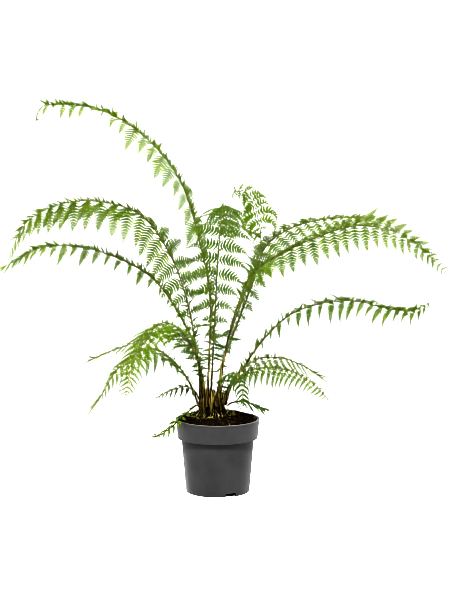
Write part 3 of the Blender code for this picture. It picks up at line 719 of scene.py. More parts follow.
soilLook = {
    "edgeRadius": 0.0910, "edge": 0.165, "top": 0.179, "crest": 3.0, "rings": 30, "turns": 120,
    "bump": 0.0016, "bumpScale": 70, "roughness": (0.9, 2.1, 4), "calmEdge": 0.6, "chaffReach": 0.056,
    "inPot": ((0.0868, 0.1268), (0.0790, 0.1268), (0.0686, 0.0084), (0.0612, 0.0084), (0.0595, 0.0026)),
    "crumbUneven": (0.72, 1.15),
    # length, width and height of each kind of crumb
    "crumbs": (((1, 0.9, 0.75), "peat"), ((1, 0.8, 0.8), "peat"), ((1.2, 0.7, 0.5), "peat"),
               ((1.5, 0.6, 0.35), "bark")),
    # width, thickness, bend and twist of each kind of strip
    "straws": ((0.05, 0.03, 0.12, 0.0, "straw"), (0.09, 0.02, -0.1, 0.2, "bark")),
    "chaff": ((0.13, 0.04, 0.3, 0.1, "straw"), (0.20, 0.05, -0.2, 0.3, "straw"),
              (0.16, 0.05, 0.2, -0.2, "moss"), (0.12, 0.04, 0.1, 0.0, "bark")),
}
soilStrewn = {
    "soilCrumbs": {"Density": 187000.0, "Seed": 4, "Least Size": 0.0012, "Largest Size": 0.0039},
    "soilLumps": {"Density": 12000.0, "Seed": 9, "Least Size": 0.0045, "Largest Size": 0.0085},
    "soilStraw": {"Density": 3400.0, "Seed": 2, "Least Size": 0.006, "Largest Size": 0.016,
                  "Outward": 0.12},
    "soilChaff": {"Density": 36000.0, "Seed": 12, "Least Size": 0.005, "Largest Size": 0.017,
                  "Outward": 0.5},
}


def soilHeight(x, y):
    look = soilLook
    share = min(1.0, math.hypot(x, y) / look["edgeRadius"])
    rise = (look["top"] - look["edge"]) * (1 - share ** look["crest"])
    rough = noise.fractal(Vector((x, y, 0.3)) * look["bumpScale"], *look["roughness"])
    return look["edge"] + rise + look["bump"] * rough * (1 - look["calmEdge"] * share ** 8)


def ringSpots(radius, turns):
    angles = [math.tau * i / turns for i in range(turns)]
    return [(radius * math.cos(angle), radius * math.sin(angle)) for angle in angles]


def makeSoil():
    look = soilLook
    turns = look["turns"]
    bm = bmesh.new()
    centre = bm.verts.new((0, 0, soilHeight(0, 0)))
    rings = []
    for ring in range(1, look["rings"] + 1):
        spots = ringSpots(look["edgeRadius"] * ring / look["rings"], turns)
        rings.append([bm.verts.new((x, y, soilHeight(x, y))) for x, y in spots])
    topSpots = [centre] + [corner for ring in rings for corner in ring]
    for radius, height in look["inPot"]:
        rings.append([bm.verts.new((x, y, height)) for x, y in ringSpots(radius, turns)])
    faces = [bm.faces.new((centre, rings[0][i], rings[0][(i + 1) % turns])) for i in range(turns)]
    for ring, after in zip(rings, rings[1:]):
        for i in range(turns):
            faces.append(bm.faces.new((ring[i], after[i], after[(i + 1) % turns], ring[(i + 1) % turns])))
    bm.faces.new(rings[-1])
    # the crumbs lie on a copy of the top, and the chaff on the part of it that is near the crown
    surface = bmesh.new()
    copies = {corner: surface.verts.new(corner.co) for corner in topSpots}
    for face in faces[:look["rings"] * turns]:
        surface.faces.new([copies[corner] for corner in face.verts])
    bed = surface.copy()
    ground = toMesh(surface, "ground")
    away = [face for face in bed.faces
            if (face.calc_center_median().xy - crownCentre.xy).length > look["chaffReach"]]
    bmesh.ops.delete(bed, geom=away, context="FACES")
    body = addKind(smooth(closedMesh(bm, "soilBody"), 50), "peat")
    finishPiece("soilBody", body, "soil", "soil")
    crumbs = [crumbMesh(seed, *shape) for seed, shape in enumerate(look["crumbs"], start=1)]
    straws, chaff = [[stripMesh(*shape) for shape in look[name]] for name in ("straws", "chaff")]
    strewn = {"soilCrumbs": (ground, crumbs), "soilLumps": (ground, crumbs), "soilStraw": (ground, straws),
              "soilChaff": (toMesh(bed, "chaffBed"), chaff)}
    for name, (below, shapes) in strewn.items():
        strew(name, below, shapes, soilStrewn[name], "soil")


# Fronds: the layout that the solids follow, so that each fine leaflet lies in its solid one

frondRule = {
    "rootHeight": 0.176, "swayEnd": 0.6, "swayFall": 1.5, "buried": 0.034, "clear": 0.006,
    "ribFoot": 0.0029, "ribTip": 0.0007, "ribFall": 0.8, "footLeast": 0.45, "footGrowth": 0.9,
    "leafRoot": 0.0045, "rootInSpacing": 0.4, "rootInLength": 0.3, "sweep": 14, "uprightHold": 0.4,
    "mostHang": 0.85, "leastSpread": 32, "spacingPower": 1.35, "forwardPower": 1.5,
    "widthInSpacing": 0.48, "widthInLength": 0.23, "toothLengths": (0.023, 0.044, 0.071),
    "teethEnd": 0.92, "smallest": 0.26, "mostGrown": 1.05, "droopChance": 7, "forwardChance": 4,
    "sameSpot": 0.0003,
}

# ways in which a leaflet was bent clear of its neighbours: droop, forward turn, size
clearingMoves = (
    (0, 0, 1.0), (-16, 0, 1.0), (16, 0, 1.0), (0, 14, 1.0), (-30, -10, 0.9), (30, 10, 0.9),
    (0, 0, 0.7), (-22, 8, 0.65), (22, 8, 0.65), (-45, 0, 0.6), (0, 0, 0.45), (-30, 15, 0.4),
)

# What a frond has unless it says otherwise
# droop: degrees of hang on the left and right, for places spread evenly from foot to tip
# forward and turn: degrees between rib and leaflet, and of the blade's twist, spread in the same way
# splay: degrees that the left leaflets lean back and the right ones forward
# lime and cool: how yellow and how blue the green is; shade: painted shade, how much darker the left and
# right rows of leaflets are painted
# wide and full: leaflet width and pinnule width over the usual, on the left and right for full
# slimming: how much of its width a leaflet loses by the frond's tip; stunted: the share of small ones
# long and spikes: the length of the leaflets, and of the pinnules on the midrib, over the usual
# shape: where a leaflet's body ends and how late it narrows
# path: millimetres outward and up
plainFrond = {
    "fullest": 0.5, "sag": 34, "curl": 0, "splay": 0, "turn": (0, 0),
    "lime": 0.4, "cool": 0.0, "wide": 1.0, "slimming": 0.15, "full": (1.0, 1.0), "spikes": 1.0,
    "stalkGreen": 0.3, "shape": (1.0, 1.2), "stunted": 0.0, "long": 1.0, "shade": (0.0, 0.0),
}
fronds = {
    "left_upper": {
        "azimuth": 190, "root": (0.013, 215), "leaf": 0.103, "pairs": 23, "bare": 0.22, "fullest": 0.40,
        "taper": 0.42, "uneven": 0.14, "splay": 6, "droop": ((10, 18), (60, 46), (66, 52)),
        "forward": (80, 60), "turn": (-82, -72, -8, 0), "lime": 0.50, "slimming": -0.1, "wide": 0.92,
        "full": (0.84, 1.0), "spikes": 2.6, "shade": (-0.1, 0.35), "shape": (0.85, 2.4),
        "path": ((47, 315), (70, 441), (113, 555), (171, 632), (254, 664), (342, 663), (427, 622),
                 (467, 550)),
    },
    "right_upper": {
        "azimuth": -10, "root": (0.013, -35), "leaf": 0.078, "pairs": 28, "bare": 0.24,
        "taper": 0.60, "uneven": 0.30, "sag": 10, "droop": ((-10, 66), (-8, 64), (0, 20)),
        "forward": (84, 54), "turn": (0, 0, 64), "lime": 0.42, "wide": 1.35, "slimming": 0.2,
        "full": (0.95, 0.90), "spikes": 2.4, "shape": (0.95, 1.5), "shade": (0.35, -0.1),
        "path": ((14, 302), (42, 415), (78, 500), (142, 546), (222, 584), (312, 612), (402, 598),
                 (474, 547), (512, 512)),
    },
    "high_left": {
        "azimuth": 165, "root": (0.012, 162), "leaf": 0.066, "pairs": 27, "bare": 0.21, "fullest": 0.34,
        "taper": 0.42, "uneven": 0.55, "droop": ((70, -4), (64, -4)), "forward": (84, 76),
        "lime": 0.52, "wide": 1.8, "full": (0.85, 0.85), "spikes": 3.2, "stalkGreen": 0.8,
        "stunted": 0.25, "long": 1.2, "shade": (0.35, 0.3),
        "path": ((18, 324), (16, 440), (43, 579), (92, 716), (160, 796), (276, 865), (372, 876),
                 (413, 873), (428, 856), (430, 838)),
    },
    "back": {
        "azimuth": 85, "root": (0.012, 112), "leaf": 0.098, "pairs": 20, "bare": 0.23, "fullest": 0.55,
        "taper": 0.60, "uneven": 0.09, "sag": 68, "droop": ((14, 16), (12, 12), (8, 8)),
        "forward": (80, 56), "lime": 0.52, "cool": 0.35, "wide": 1.15, "full": (0.88, 0.88),
        "spikes": 2.3, "stalkGreen": 0.9, "shape": (0.85, 1.6), "shade": (0.1, 0.0),
        "path": ((12, 300), (20, 420), (42, 530), (86, 608), (152, 638), (232, 616), (306, 548)),
    },
    "right_back": {
        "azimuth": 30, "root": (0.013, 15), "leaf": 0.060, "pairs": 25, "bare": 0.24, "fullest": 0.40,
        "taper": 0.60, "uneven": 0.15, "droop": ((-20, 52), (0, 48)), "forward": (80, 42),
        "wide": 1.6, "full": (0.95, 0.90), "spikes": 2.4, "shade": (0.35, 0.0),
        "path": ((20, 313), (45, 368), (90, 468), (128, 556), (189, 592), (270, 609), (380, 610),
                 (490, 598)),
    },
    "left_middle": {
        "azimuth": 172, "root": (0.024, 168), "leaf": 0.056, "pairs": 22, "bare": 0.28, "fullest": 0.60,
        "taper": 0.32, "uneven": 0.40, "droop": ((62, 0), (54, 0), (30, 10)), "forward": (84, 70, 14),
        "lime": 0.55, "wide": 0.95, "slimming": -0.5, "full": (1.0, 1.1), "spikes": 3.0,
        "shade": (0.0, 0.3),
        "path": ((52, 335), (86, 403), (150, 488), (235, 534), (328, 557), (421, 548), (468, 520),
                 (506, 504)),
    },
    "curled": {
        "azimuth": 25, "root": (0.012, 62), "leaf": 0.074, "pairs": 11, "bare": 0.74, "fullest": 0.20,
        "taper": 1.10, "uneven": 0.20, "curl": 150, "droop": ((34, 0), (20, 10)),
        "forward": (90, 112, 80), "turn": (66, 66), "lime": 0.12, "cool": 0.3, "wide": 1.5,
        "full": (1.0, 0.9), "stalkGreen": 0.8, "shade": (0.2, -0.1),
        "path": ((24, 323), (56, 413), (90, 496), (109, 562), (102, 618), (88, 658), (66, 684),
                 (42, 684), (36, 666)),
    },
    "right_middle": {
        "azimuth": 0, "root": (0.024, -12), "leaf": 0.052, "pairs": 22, "bare": 0.20,
        "taper": 0.30, "uneven": 0.40, "sag": 8, "droop": ((-8, 60), (-4, 58), (0, 34)),
        "forward": (84, 136, 146), "turn": (0, 0, 40), "lime": 0.60, "cool": 0.40, "wide": 0.82,
        "slimming": -0.35, "full": (1.0, 1.05), "spikes": 2.8, "long": 1.2,
        "path": ((30, 245), (60, 290), (105, 352), (163, 406), (235, 432), (310, 437), (385, 420),
                 (445, 416), (480, 434)),
    },
    "front_left": {
        "azimuth": 235, "root": (0.024, 247), "leaf": 0.064, "pairs": 26, "bare": 0.18, "fullest": 0.60,
        "taper": 0.50, "uneven": 0.10, "sag": 14, "droop": ((34, 34), (8, 8)), "forward": (80, 62),
        "lime": 0.35, "wide": 1.25, "slimming": 0.3, "full": (0.9, 1.0), "spikes": 1.6, "long": 1.1,
        "shade": (-0.1, 0.3),
        "path": ((50, 262), (88, 336), (146, 390), (209, 411), (278, 372), (322, 317), (338, 270)),
    },
    "left_front": {
        "azimuth": 207, "root": (0.024, 206), "leaf": 0.068, "pairs": 23, "bare": 0.18, "fullest": 0.42,
        "taper": 1.40, "uneven": 0.24, "sag": 26, "droop": ((40, 8), (50, 20)), "forward": (80, 38),
        "lime": 0.2, "wide": 1.3, "full": (0.9, 1.0), "spikes": 1.8, "long": 1.12, "shade": (-0.1, 0.3),
        "path": ((69, 256), (110, 308), (160, 340), (208, 330), (252, 294), (291, 238), (327, 195)),
    },
    "left_low": {
        "azimuth": 157, "root": (0.024, 146), "leaf": 0.054, "pairs": 23, "bare": 0.18, "fullest": 0.45,
        "taper": 1.00, "uneven": 0.16, "sag": 24, "droop": ((34, -14), (30, 0)), "forward": (80, 38),
        "lime": 0.05, "wide": 1.3, "full": (0.9, 1.0), "spikes": 1.8, "long": 1.12, "shade": (0.1, 0.3),
        "path": ((40, 258), (60, 322), (98, 356), (142, 360), (220, 326), (290, 298), (348, 269)),
    },
    "right_low_back": {
        "azimuth": 20, "root": (0.024, 36), "leaf": 0.046, "pairs": 22, "bare": 0.16,
        "taper": 0.70, "uneven": 0.14, "sag": 18, "droop": ((0, 58), (0, 40)), "forward": (80, 42),
        "cool": 0.15, "wide": 1.2, "full": (1.0, 0.95), "spikes": 1.7, "long": 1.1, "shade": (0.3, 0.0),
        "path": ((26, 232), (56, 272), (98, 299), (150, 300), (210, 277), (272, 235)),
    },
    "right_low_front": {
        "azimuth": -28, "root": (0.024, -36), "leaf": 0.050, "pairs": 24, "bare": 0.16,
        "taper": 0.70, "uneven": 0.14, "sag": 12, "droop": ((10, 64), (14, 56)), "forward": (104, 130),
        "turn": (0, 10), "cool": 0.15, "wide": 1.15, "full": (1.0, 0.95), "spikes": 1.7, "long": 1.1,
        "shade": (0.3, -0.1),
        "path": ((32, 240), (64, 275), (112, 294), (168, 294), (228, 274), (281, 231)),
    },
    "short_front": {
        "azimuth": 300, "root": (0.024, -64), "leaf": 0.042, "pairs": 14, "bare": 0.22,
        "taper": 0.50, "uneven": 0.15, "droop": ((38, 38), (20, 20)), "forward": (80, 50),
        "lime": -0.1, "cool": 0.7, "full": (1.3, 1.3),
        "path": ((30, 240), (54, 278), (82, 284), (104, 266), (113, 239), (114, 214)),
    },
    "rim_left": {
        "azimuth": 218, "root": (0.024, 226), "leaf": 0.030, "pairs": 11, "bare": 0.24, "fullest": 0.4,
        "taper": 0.75, "uneven": 0.2, "droop": ((4, 4), (4, 4)), "forward": (70, 36), "full": (1.2, 1.2),
        "path": ((50, 204), (95, 186), (143, 157), (175, 147), (196, 149)),
    },
    "short_left": {
        "azimuth": 186, "root": (0.024, 187), "leaf": 0.034, "pairs": 10, "bare": 0.20, "fullest": 0.4,
        "taper": 0.60, "uneven": 0.2, "droop": ((34, -8), (34, 0)), "forward": (80, 50),
        "lime": 0.1, "cool": 0.3, "wide": 0.9, "full": (1.2, 1.2),
        "path": ((44, 218), (68, 242), (100, 236), (140, 218)),
    },
    "rim_right": {
        "azimuth": 8, "root": (0.024, 12), "leaf": 0.038, "pairs": 8, "bare": 0.20,
        "taper": 0.60, "uneven": 0.15, "droop": ((-10, 16), (6, 6)), "forward": (80, 46),
        "lime": 0.0, "cool": 0.7, "wide": 1.4, "full": (1.4, 1.4), "shape": (1.05, 3.0),
        "path": ((26, 200), (56, 206), (88, 194), (116, 186)),
    },
}


def spreadValue(values, share):
    # a value at a share of the way through evenly spread ones
    spot = share * (len(values) - 1)
    index = min(int(spot), len(values) - 2)
    return values[index] + (values[index + 1] - values[index]) * (spot - index)


def smoothPath(points, perSpan=14):
    # points on a curve through all the given ones
    gaps = [(end - start).length for start, end in zip(points, points[1:])]
    slopes = [(points[1] - points[0]) / gaps[0]]
    for index in range(1, len(points) - 1):
        before = (points[index] - points[index - 1]) / gaps[index - 1]
        after = (points[index + 1] - points[index]) / gaps[index]
        slopes.append(before.lerp(after, gaps[index - 1] / (gaps[index - 1] + gaps[index])))
    slopes.append((points[-1] - points[-2]) / gaps[-1])
    path = [points[0]]
    for index, gap in enumerate(gaps):
        for step in range(1, perSpan + 1):
            t = step / perSpan
            near = (1 + 2 * t) * (1 - t) ** 2 * points[index] + t * (1 - t) ** 2 * gap * slopes[index]
            far = t * t * (3 - 2 * t) * points[index + 1] + t * t * (t - 1) * gap * slopes[index + 1]
            path.append(near + far)
    return path


def between(first, second, angle):
    # a direction at an angle from the first of two square ones, toward the second
    return first * math.cos(angle) + second * math.sin(angle)


def squared(direction, along):
    # what is left of a direction at right angles to another
    return (direction - direction.dot(along) * along).normalized()


def hang(level, droop):
    # a direction turned toward straight down, but never past it
    down = Vector((0, 0, -1))
    droop = min(droop, frondRule["mostHang"] * level.angle(down))
    return between(level, squared(down, level), droop)


class Path:
    # points on a line, with how far along it each one lies
    def __init__(self, points):
        self.points = points
        self.marks = [0.0]
        for start, end in zip(points, points[1:]):
            self.marks.append(self.marks[-1] + (end - start).length)
        self.length = self.marks[-1]

    def find(self, distance):
        # the first point past a distance, and the share of the way to it from the one before
        index = 1
        while index < len(self.marks) - 1 and self.marks[index] < distance:
            index += 1
        before = self.marks[index - 1]
        return index, (distance - before) / (self.marks[index] - before)


class Rib(Path):
    # a frond's stalk and midrib, read by distance from its foot
    def __init__(self, look):
        rule = frondRule
        angle = math.radians(look["azimuth"])
        outward = Vector((math.cos(angle), math.sin(angle), 0))
        self.sideways = Vector((-math.sin(angle), math.cos(angle), 0))
        self.turn = [math.radians(turn) for turn in look["turn"]]
        radius, turn = look["root"][0], math.radians(look["root"][1])
        foot = crownCentre + radius * Vector((math.cos(turn), math.sin(turn), 0))
        foot.z = rule["rootHeight"]
        offset = foot.dot(self.sideways)
        points = [foot]
        for index, (reach, height) in enumerate(look["path"], start=1):
            fade = max(0.0, 1 - index / (rule["swayEnd"] * len(look["path"]))) ** rule["swayFall"]
            sway, rise = offset * fade, Vector((0, 0, height / 1000))
            points.append(outward * (reach / 1000) + self.sideways * sway + rise)
        super().__init__(smoothPath(points))
        self.footWidth = rule["ribFoot"] * min(1.0, rule["footLeast"] + rule["footGrowth"] * self.length)

    def at(self, distance):
        # point, and the directions along, to the left and up from the blade
        index, share = self.find(distance)
        start, end = self.points[index - 1], self.points[index]
        before = self.points[max(index - 2, 0)]
        after = self.points[min(index + 1, len(self.points) - 1)]
        along = (end - before).normalized().lerp((after - start).normalized(), share).normalized()
        left = squared(self.sideways, along)
        left = between(left, along.cross(left), spreadValue(self.turn, distance / self.length))
        return start.lerp(end, share), along, left, along.cross(left)

    def halfWidth(self, distance):
        share = (distance / self.length) ** frondRule["ribFall"]
        return self.footWidth + (frondRule["ribTip"] - self.footWidth) * share

    def corner(self, distance, side):
        middle, _, left, _ = self.at(distance)
        return middle + left * side * self.halfWidth(distance)


def leafSize(share, fullest, taper):
    smallest = frondRule["smallest"]
    rise = smallest + (1 - smallest) * math.sin(0.5 * math.pi * min(1.0, share / fullest))
    return rise * min(1.0, (1.0 - share) / (1.0 - fullest)) ** taper


class SolidLeaflet:
    # the middle line of a solid leaflet: its places, and the way its face looks at each
    def __init__(self, rib, side, middle, length, spacing, droop, forward, sag, curl):
        rule = frondRule
        halfRoot = min(rule["rootInSpacing"] * spacing, rule["leafRoot"], rule["rootInLength"] * length)
        start, end = middle - halfRoot, middle + halfRoot
        parts = sum(length >= limit for limit in rule["toothLengths"])
        bends = max(parts, 1)
        along, left = rib.at(0.5 * (start + end))[1:3]
        level = between(along, side * left, math.radians(forward))
        aim = hang(level, math.radians(droop) * (1.0 - rule["uprightHold"] * abs(along.z)))
        spread = max(aim.angle(along), math.radians(rule["leastSpread"]))
        aim = between(along, squared(aim, along), spread)
        across = squared(along, aim)
        face = side * across.cross(aim)
        room = rule["widthInSpacing"] * spacing * along.cross(aim).length
        self.halfWidth = min(room, rule["widthInLength"] * length)
        self.spots = [0.5 * (rib.corner(start, side) + rib.corner(end, side))]
        self.faces = [face]
        reached = 0.0
        for part in range(1, parts + 1):
            share = rule["teethEnd"] * part / (parts + 0.5)
            self.spots.append(self.spots[-1] + aim * (share - reached) * length)
            reached = share
            roll = math.radians(curl) * parts / len(rule["toothLengths"])
            sweep = (math.radians(rule["sweep"] - sag * across.z) - roll) / bends
            sagging = -math.radians(sag) * face.z / bends
            aim, face = between(aim, face, sagging), between(face, -aim, sagging)
            aim, across = between(aim, across, sweep), between(across, -aim, sweep)
            self.faces.append(face)
        self.spots.append(self.spots[-1] + aim * (1.0 - reached) * length)
        self.faces.append(face)


def leafyMarks(rib, look):
    start = max(look["bare"] * rib.length, frondRule["buried"] + frondRule["clear"])
    pairs = look["pairs"]
    shares = [1 - (1 - index / pairs) ** frondRule["spacingPower"] for index in range(pairs + 1)]
    edges = [start + (rib.length - start) * share for share in shares]
    return list(zip(edges, edges[1:], shares))


def solidLeaflets(node, rib, look, seed):
    # the leaflets that the solid frond has, each bent as it is there
    corners = frame["nodes"][node].data.vertices
    tips = KDTree(len(corners))
    for index, corner in enumerate(corners):
        tips.insert(corner.co, index)
    tips.balance()
    chance = random.Random(seed)
    rule = frondRule
    found = []
    for start, end, share in leafyMarks(rib, look):
        forward = spreadValue(look["forward"], share ** rule["forwardPower"])
        for side, droop in zip((1, -1), zip(*look["droop"])):
            size = leafSize(share, look["fullest"], look["taper"])
            full = look["leaf"] * size * chance.uniform(1 - look["uneven"], rule["mostGrown"])
            tilt = spreadValue(droop, share) + chance.uniform(-1, 1) * rule["droopChance"]
            aim = forward + side * look["splay"] + chance.uniform(-1, 1) * rule["forwardChance"]
            for moreDroop, moreForward, size in clearingMoves:
                leaflet = SolidLeaflet(rib, side, 0.5 * (start + end), full * size, end - start,
                                       tilt + moreDroop, aim - moreForward, look["sag"], look["curl"])
                if tips.find(leaflet.spots[-1])[2] < rule["sameSpot"]:
                    found.append((leaflet, side, 0.5 * (start + end)))
                    break
    return found


# Pinnules, the small teeth that a leaflet is cut into

pinnuleLook = {
    "lobes": (3, 3, 2, 1), "lobeReach": (0.0085, 0.0055, 0.0032), "fill": 0.52, "taper": 0.42,
    "notch": 0.82, "root": 0.95, "last": 0.86, "peak": 0.6, "bend": 0.42, "dip": 0.20, "arch": 0.30,
    "narrowEnd": 0.25, "pitch": 0.0064, "perPitch": 0.92, "fewest": 3, "crowding": 1.12,
    "ribWidth": 0.00045, "ribTaper": 1.15, "ribLeast": 0.6, "ribGrowth": 6, "tail": 1.5,
}
pinnuleGrowth = {
    "Lean": math.radians(14), "Tip Lean": math.radians(34), "Uneven": math.radians(5), "Droop": 0.10,
    "Least": 0.88, "Most": 1.08, "Darkest": -0.62, "Palest": 0.46,
}


def pinnuleMesh(name, lobes, side):
    # length 1 along X and about 1 between neighbours, bent toward the leaflet's tip
    look = pinnuleLook
    bm = bmesh.new()
    blade = bm.verts.layers.float_vector.new("blade")
    under = bm.faces.layers.float.new("under")

    def spot(share, across):
        half = look["fill"] * (1 - look["taper"] * share) * (1 - look["narrowEnd"] * share ** 4)
        y = half * across - side * look["bend"] * share * share
        z = -look["dip"] * share * share - look["arch"] * half * abs(across)
        corner = bm.verts.new((share, y, z))
        corner[blade] = (share, across, 0)
        return corner

    shares = [look["last"] * index / lobes for index in range(lobes + 1)]
    spans = list(zip(shares, shares[1:]))
    middle = [spot(share, 0) for share in shares]
    tip = spot(1.0, 0)
    edges = {}
    peaks = {}
    for hand in (1, -1):
        edges[hand] = [spot(share, hand * (look["notch"] if share else look["root"])) for share in shares]
        peaks[hand] = [spot(start + look["peak"] * (end - start), hand) for start, end in spans]
    tops = [(middle[0], edges[1][0], edges[-1][0])]
    bottoms = [(edges[1][-1], edges[-1][-1], tip)]
    for index in range(lobes):
        for hand in (1, -1):
            near, far, peak = edges[hand][index], edges[hand][index + 1], peaks[hand][index]
            tops += [(middle[index], near, peak), (middle[index], peak, middle[index + 1]),
                     (middle[index + 1], peak, far)]
            bottoms.append((near, peak, far))
        left, right = edges[1], edges[-1]
        bottoms += [(left[index], right[index], right[index + 1]),
                    (left[index], right[index + 1], left[index + 1])]
    tops += [(middle[-1], edges[hand][-1], tip) for hand in (1, -1)]
    for corners in tops:
        bm.faces.new(corners)
    for corners in bottoms:
        bm.faces.new(corners)[under] = 1.0
    bmesh.ops.recalc_face_normals(bm, faces=bm.faces)
    for edge in bm.edges:
        edge.smooth = len({round(face[under]) for face in edge.link_faces}) == 1
    for face in bm.faces:
        face.smooth = True
    return toMesh(bm, name)


def makeFrondTree():
    # grows a frond on guide lines: a grooved stalk, leaflet ribs and rows of pinnules
    tree, given, outward = newTree("frond", "GeometryNodeTree", {
        "Geometry": "Geometry", "Left Pinnules": "Collection", "Right Pinnules": "Collection",
        "Lean": 0.25, "Tip Lean": 0.6, "Droop": 0.1, "Uneven": 0.1, "Least": 0.9, "Most": 1.1,
        "Darkest": -0.5, "Palest": 0.5, "Stalk Sides": 10, "Groove": 0.35, "Seed": 0,
        "Leaf": "Material", "Stalk": "Material"}, {"Geometry": "Geometry"})
    seed = given["Seed"]

    def read(name, kind="FLOAT"):
        return out(place(tree, "InputNamedAttribute", Name=name, data_type=kind))

    def circle(sides):
        return place(tree, "CurvePrimitiveCircle", Resolution=sides, Radius=1.0)

    def tube(curve, profile):
        return place(tree, "CurveToMesh", Curve=curve, Profile_Curve=profile, Scale=read("thickness"),
                     Fill_Caps=True)

    def join(parts):
        joined = tree.nodes.new("GeometryNodeJoinGeometry")
        for part in parts:
            feed(joined, part)
        return joined

    def grow(selection, shapes, kind, turn, size):
        return place(tree, "InstanceOnPoints", Points=leafLine, Instance=shapes, Pick_Instance=True,
                     Selection=calc("GREATER_THAN", read(selection), 0.0), Instance_Index=kind,
                     Rotation=turn, Scale=size)

    isStalk = calc("GREATER_THAN", read("stalk"), 0.5)
    split = place(tree, "SeparateGeometry", given["Geometry"], isStalk, domain="POINT")
    stalkLine = place(tree, "MeshToCurve", Mesh=out(split, "Selection"))
    up = read("bladeUp", "FLOAT_VECTOR")
    facing = place(tree, "SetCurveNormal", Curve=stalkLine, Normal=up, mode="FREE")
    # the groove is pressed into the top of the stalk's outline
    height = axes(out(place(tree, "InputPosition")))["Y"]
    depth = times(remap(height, 0.82, 1.0), given["Groove"])
    down = place(tree, "CombineXYZ", Y=times(depth, -1.0))
    grooved = place(tree, "SetPosition", Geometry=circle(given["Stalk Sides"]), Offset=down)
    stalk = tube(facing, grooved)
    leafLine = out(place(tree, "MeshToCurve", Mesh=out(split, "Inverted")))
    ribs = place(tree, "StoreNamedAttribute", Geometry=tube(leafLine, circle(3)), Name="costa", Value=1.0)

    ahead = out(place(tree, "InputTangent"))
    leftward = calc("CROSS_PRODUCT", up, ahead, kind="VectorMath")
    leftward = calc("NORMALIZE", leftward, kind="VectorMath")
    lean = remap(calc("POWER", read("outward"), 2.0), 0.0, 1.0, given["Lean"], given["Tip Lean"])
    rows = []
    for hand, label, offset in ((1.0, "Left Pinnules", 1.0), (-1.0, "Right Pinnules", 11.0)):
        wobble = chanceValue(seed, offset, Min=-1.0, Max=1.0)
        angle = timesPlus(wobble, given["Uneven"], lean)
        away = stretch(leftward, times(calc("COSINE", angle), hand))
        forward = stretch(ahead, calc("SINE", angle))
        dip = chanceValue(seed, offset + 1.0, Min=calc("SUBTRACT", given["Droop"], given["Uneven"]),
                          Max=calc("ADD", given["Droop"], given["Uneven"]))
        aim = vectorSum(vectorSum(away, forward), stretch(up, times(dip, -1.0)))
        grown = chanceValue(seed, offset + 2.0, Min=given["Least"], Max=given["Most"])
        size = place(tree, "CombineXYZ", times(read("reach"), grown), read("pitch"), read("pitch"))
        rows.append(grow("reach", pickShapes(given[label]), read("pinnuleKind", "INT"),
                         aimRotation(aim, up), size))
    size = place(tree, "CombineXYZ", read("tail"), read("pitch"), read("pitch"))
    rows.append(grow("tail", pickShapes(given["Right Pinnules"]), 2, aimRotation(ahead, up), size))
    own = chanceValue(seed, 31.0, Min=given["Darkest"], Max=given["Palest"])
    tinted = place(tree, "StoreNamedAttribute", Geometry=join(rows), Name="tint",
                   Value=calc("ADD", read("leafTint"), own), domain="INSTANCE")
    real = place(tree, "RealizeInstances", Geometry=join((stalk, ribs, tinted)))
    leafed = place(tree, "SetMaterial", Geometry=real, Material=given["Leaf"])
    feed(outward, Geometry=place(tree, "SetMaterial", Geometry=leafed, Selection=isStalk,
                                 Material=given["Stalk"]))
    return tree


frondTree = makeFrondTree()


class Guide:
    # lines that a frond grows on, with a value of each kind at every point
    kinds = {"bladeUp": "FLOAT_VECTOR", "pinnuleKind": "INT"}
    kinds.update(dict.fromkeys((
        "reach", "pitch", "thickness", "share", "outward", "tail", "stalk", "leafTint", "cool"), "FLOAT"))

    def __init__(self):
        self.points = []
        self.edges = []
        self.values = {name: [] for name in self.kinds}

    def add(self, point, joined, **values):
        if joined:
            self.edges.append((len(self.points) - 1, len(self.points)))
        self.points.append(point)
        for name, row in self.values.items():
            row.append(values.get(name, 0))

    def mesh(self, name):
        mesh = bpy.data.meshes.new(name)
        mesh.from_pydata(self.points, self.edges, [])
        for label, kind in self.kinds.items():
            data = mesh.attributes.new(label, kind, "POINT").data
            if kind == "FLOAT_VECTOR":
                data.foreach_set("vector", [part for value in self.values[label] for part in value])
            else:
                data.foreach_set("value", self.values[label])
        return mesh


class Line(Path):
    # a smooth leaflet midrib, read by share of its length
    def __init__(self, spots, faces, perSpan=8):
        super().__init__(smoothPath(spots, perSpan))
        self.faces = [faces[0]]
        for start, end in zip(faces, faces[1:]):
            self.faces += [start.lerp(end, step / perSpan) for step in range(1, perSpan + 1)]

    def at(self, share, louvre):
        index, part = self.find(share * self.length)
        start, end = self.points[index - 1], self.points[index]
        along = (end - start).normalized()
        face = squared(self.faces[index - 1].lerp(self.faces[index], part), along)
        return start.lerp(end, part), between(face, along.cross(face), louvre)


leafletLook = {
    "widen": 1.30, "louvre": 12, "unevenLouvre": 9, "rootWidth": 0.6, "rootRise": 2.2, "tailWidth": 0.5,
    "stunted": 0.45, "tipward": 0.45, "paler": 0.6, "tints": (-0.26, 0.30),
}

# short upright pinnules that clothe the midrib
spikeLook = {
    "gap": (0.004, 0.008), "length": (0.005, 0.011), "widthInLength": 0.22, "from": 0.9, "to": 0.95,
    "thinning": 1.7, "full": 1.4, "tints": (-0.1, 0.5), "tipward": 0.9, "paler": 0.7,
    "round": (-0.2, 1.0), "ahead": (0.3, 1.3), "rooted": 0.7, "tipHang": 0.2,
}

# small leaflets on the bare lower stalk
footLeafLook = {
    "gap": (0.007, 0.015), "length": (0.010, 0.034), "leastFrond": 0.30, "from": 0.075,
    "widthInLength": 0.17, "cool": 0.7, "full": 1.25, "tints": (0.0, 0.45), "missing": 0.2,
    "grown": (0.6, 1.2), "unevenGap": (-0.003, 0.003), "round": (-1.2, 1.2), "ahead": (-0.2, 0.9),
    "hang": (-0.2, 0.9), "rooted": 0.8, "tipHang": 0.35,
}

